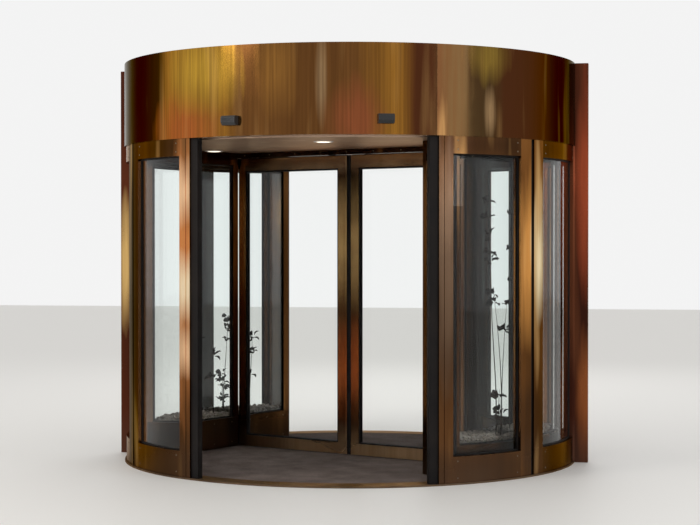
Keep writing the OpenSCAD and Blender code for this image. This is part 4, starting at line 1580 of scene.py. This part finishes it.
def make_twigs(side):
    """All the stems and leaves of one showcase."""
    rng = random.Random(7 if side == "left" else 19)
    right = side == "right"
    points, sizes, edges, roots, ways = [], [], [], [], []
    for x, y, height, levels in STEMS[side]:
        stem = grow_stem(rng, (x, y, CASE_FLOOR + 0.002), height, STEM_R, levels)
        first = len(points)
        points += [on_rotor(*p, right) for p in stem[0]]
        sizes += stem[1]
        edges += [(first + i, first + i + 1) for i in range(len(stem[0]) - 1)]
        roots += [on_rotor(*p, right) for p, _ in stem[2]]
        ways += [on_rotor(*w, right) for _, w in stem[2]]
    stems = run_tree(STEM_TREE, guide_mesh(points, edges, thickness=sizes), Finish=twig_bark)
    add_piece(f"showcase_{side}_stems", stems, twig_bark, "rotor")
    leaves = run_tree(LEAF_TREE, guide_mesh(roots, facing=ways), Finish=dry_leaf)
    add_piece(f"showcase_{side}_leaves", leaves, dry_leaf, "rotor")


make_twigs("left")
make_twigs("right")

# %% [markdown]
# ## Pebble beds
#
# The twigs stand in a bed of small round pebbles. A simulation could drop them into a heap, but how
# they rest on each other hardly shows. So the tree scatters points over the floor of the showcase,
# never closer together than a pebble's width, and places a slightly flattened ball of a random size
# and turn on each of them. A second, thinner layer on top makes it a heap.

# %% Pebbles


def pebble_tree():
    """Scatters flattened balls over the faces of the guide."""
    tree, inside, out = new_tree(
        "pebbles",
        [
            ("Pebble Radius", "Float", 0.017), ("Spacing", "Float", 0.021), ("Seed", "Int", 4),
            ("Finish", "Material", None),
        ],
    )
    dots = put(
        tree, "GeometryNodeDistributePointsOnFaces", Mesh=inside["Geometry"], Seed=inside["Seed"]
    )
    dots.distribute_method = "POISSON"
    fill(tree, dots, Density_Max=4000.0, Distance_Min=inside["Spacing"])
    ball = put(tree, "GeometryNodeMeshIcoSphere", Radius=inside["Pebble Radius"], Subdivisions=2)
    placed = put(
        tree, "GeometryNodeInstanceOnPoints", Points=dots.outputs["Points"],
        Instance=ball.outputs["Mesh"],
        Rotation=random_between(tree, "FLOAT_VECTOR", (-0.5, -0.5, 0.0), (0.5, 0.5, 6.28), seed=0),
        Scale=random_between(tree, "FLOAT_VECTOR", (0.65, 0.55, 0.40), (1.25, 1.0, 0.75), seed=0),
    )
    smooth = put(tree, "GeometryNodeSetShadeSmooth", Geometry=placed.outputs[0])
    close_tree(tree, smooth.outputs[0], inside["Finish"], out)
    return tree


PEBBLE_TREE = pebble_tree()
BED_R = 1.535
BED_CORNERS = (26, 19, 12, 6)
BED_WALL_GAP = 0.062
BED_SIDE_GAP = 0.085
BED_POCKET_GAP = 0.022
LOWER_LAYER = 0.009
UPPER_LAYER = 0.026


def bed_guide(right, height):
    """The two halves of a showcase's floor, beside the pocket and inside the walls."""
    x0 = CASE_X + BED_WALL_GAP
    y0 = CASE_HALF - BED_SIDE_GAP + (x0 - CASE_X) * math.tan(math.radians(CASE_FLARE))
    edge = POCKET_FACE + BED_POCKET_GAP
    outline = [(x0, edge), (x0, y0)]
    for a in BED_CORNERS:
        outline.append((BED_R * math.cos(math.radians(a)), BED_R * math.sin(math.radians(a))))
    outline.append((math.sqrt(BED_R**2 - edge**2), edge))
    points, faces = [], []
    for side in (1, -1):
        first = len(points)
        points += [on_rotor(x, side * y, height, right) for x, y in outline]
        ring = [first + i for i in range(len(outline))]
        faces.append(ring[::-1] if side > 0 else ring)
    return guide_mesh(points, faces=faces)


for right, side in SIDES:
    lower = run_tree(PEBBLE_TREE, bed_guide(right, CASE_FLOOR + LOWER_LAYER), Finish=pebble_stone)
    add_piece(f"showcase_{side}_pebbles", lower, pebble_stone, "rotor")
    upper = run_tree(
        PEBBLE_TREE, bed_guide(right, CASE_FLOOR + UPPER_LAYER), Finish=pebble_stone, Spacing=0.030,
        Seed=9,
    )
    add_piece(f"showcase_{side}_top_pebbles", upper, pebble_stone, "rotor")

# %% [markdown]
# ## Sensor windows
#
# The motion sensors look out through a dark glossy window. A dark patch in the sensor's material would
# do, but a window has an edge that catches light. So a thin block with rounded edges lies on the front
# face of each sensor.

# %% Sensor windows
SENSOR_ANGLE = 18.0
SENSOR_BASE = 2.4525
SENSOR_FACE = 0.0505
WINDOW_RISE = 0.037
WINDOW_SIZE = (0.002, 0.094, 0.027)


def sensor_windows():
    """A thin rounded window on the front face of each sensor."""
    bm = bmesh.new()
    for middle in (SENSOR_ANGLE, -SENSOR_ANGLE, 180 + SENSOR_ANGLE, 180 - SENSOR_ANGLE):
        out = on_drum(1, middle, 0)
        across = Vector((-out.y, out.x, 0))
        centre = out * (DRUM_R + SENSOR_FACE) + Vector((0, 0, SENSOR_BASE + WINDOW_RISE))

        def place(depth, side, rise):
            return centre + out * depth + across * side + Vector((0, 0, rise))

        rounded_block(bm, place, WINDOW_SIZE)
    return mesh_from(bm)


add_piece("sensor_windows", sensor_windows(), lens_black, "drum")

# %% [markdown]
# ## Lamp lenses
#
# The four downlights have a frosted lens that bulges a little under the trim. A scaled ball would poke
# into the trim, so the dome is built ring by ring from its profile, and closed on top by a flat face.

# %% Lamp lenses
LIGHT_RING = 1.080
LENS_R = 0.052
LENS_DROP = 0.004
TRIM_LOW = 2.3667


def lamp_lenses():
    """A shallow closed dome under the trim of each downlight."""
    bm = bmesh.new()
    rings, sides = 5, 32
    for i in range(4):
        centre = on_drum(LIGHT_RING, i * 90, 0)
        profile = [(LENS_R, TRIM_LOW + 0.001)]
        for k in range(rings):
            a = math.radians(90 * k / rings)
            profile.append((LENS_R * math.cos(a), TRIM_LOW - LENS_DROP * math.sin(a)))
        loops = []
        for r, z in profile:
            loop = []
            for s in range(sides):
                a = 2 * math.pi * s / sides
                loop.append(bm.verts.new((centre.x + r * math.cos(a), centre.y + r * math.sin(a), z)))
            loops.append(loop)
        for low, high in zip(loops, loops[1:]):
            for s in range(sides):
                t = (s + 1) % sides
                bm.faces.new((low[s], low[t], high[t], high[s]))
        bm.faces.new(loops[0])
        tip = bm.verts.new((centre.x, centre.y, TRIM_LOW - LENS_DROP))
        for s in range(sides):
            bm.faces.new((loops[-1][s], loops[-1][(s + 1) % sides], tip))
    return mesh_from(bm, smooth=True)


add_piece("lamp_lenses", lamp_lenses(), lamp_glow, "rotor")

# %% [markdown]
# ## Hatch pulls
#
# Each roof hatch has two bent bars to lift it by. They could be curves with a bevel, but a bar is the
# same kind of shape as a stem, a line with a round section, so the tree of the stems makes it too.

# %% Hatch pulls
PULL_ROW = 0.15
PULL_HALF = 0.055
PULL_RISE = 0.019
PULL_BEND = 0.010
PULL_R = 0.004
PULL_SINK = 0.0005


def hatch_pulls():
    """Two bent bars on each roof hatch, to lift it by."""
    points, edges = [], []
    for side in (1, -1):
        for row in (PULL_ROW, -PULL_ROW):
            first = len(points)
            profile = [(-PULL_HALF, 0.0)]
            for k in range(5):
                a = math.radians(22.5 * k)
                bend = PULL_BEND * (1 - math.cos(a))
                profile.append((bend - PULL_HALF, PULL_RISE - PULL_BEND * (1 - math.sin(a))))
            profile += [(-along, rise) for along, rise in reversed(profile)]
            for along, rise in profile:
                points.append(Vector((side * HATCH_X + along, row, HATCH_TOP - PULL_SINK + rise)))
            edges += [(i, i + 1) for i in range(first, len(points) - 1)]
    guide = guide_mesh(points, edges, thickness=[PULL_R] * len(points))
    return run_tree(STEM_TREE, guide, Finish=screw_steel, Sides=8)


add_piece("hatch_pulls", hatch_pulls(), screw_steel, "drum")

# %% [markdown]
# ## Joints of the canopy
#
# The canopy band is bent from six panels, and the joints between them are filled with black sealant.
# Dark lines could be part of the metal's pattern, but sealant is dull where the metal is polished. So
# each joint is a thin strip of rubber a little behind the face, which reads as a thin dark line.

# %% Canopy joints
CANOPY_TOP = cad_high.z
PANELS = 6
JOINT_IN = 1.700
JOINT_OUT = DRUM_R - 0.0012
JOINT_HALF = 0.0018
JOINT_END_GAP = 0.001


def canopy_joints():
    """Sealant in the six upright joints of the canopy."""
    bm = bmesh.new()
    half = math.degrees(JOINT_HALF / DRUM_R)
    section = ((JOINT_IN, -half), (JOINT_OUT, -half), (JOINT_OUT, half), (JOINT_IN, half))
    for i in range(PANELS):
        middle = (i + 0.5) * 360 / PANELS
        corners = []
        for z in (CANOPY_LOW + JOINT_END_GAP, CANOPY_TOP - JOINT_END_GAP):
            corners += [bm.verts.new(on_drum(r, middle + a, z)) for r, a in section]
        low, high = corners[:4], corners[4:]
        bm.faces.new(low)
        bm.faces.new(high)
        for k in range(4):
            bm.faces.new((low[k], low[(k + 1) % 4], high[(k + 1) % 4], high[k]))
    return mesh_from(bm)


add_piece("canopy_joints", canopy_joints(), black_rubber, "drum")
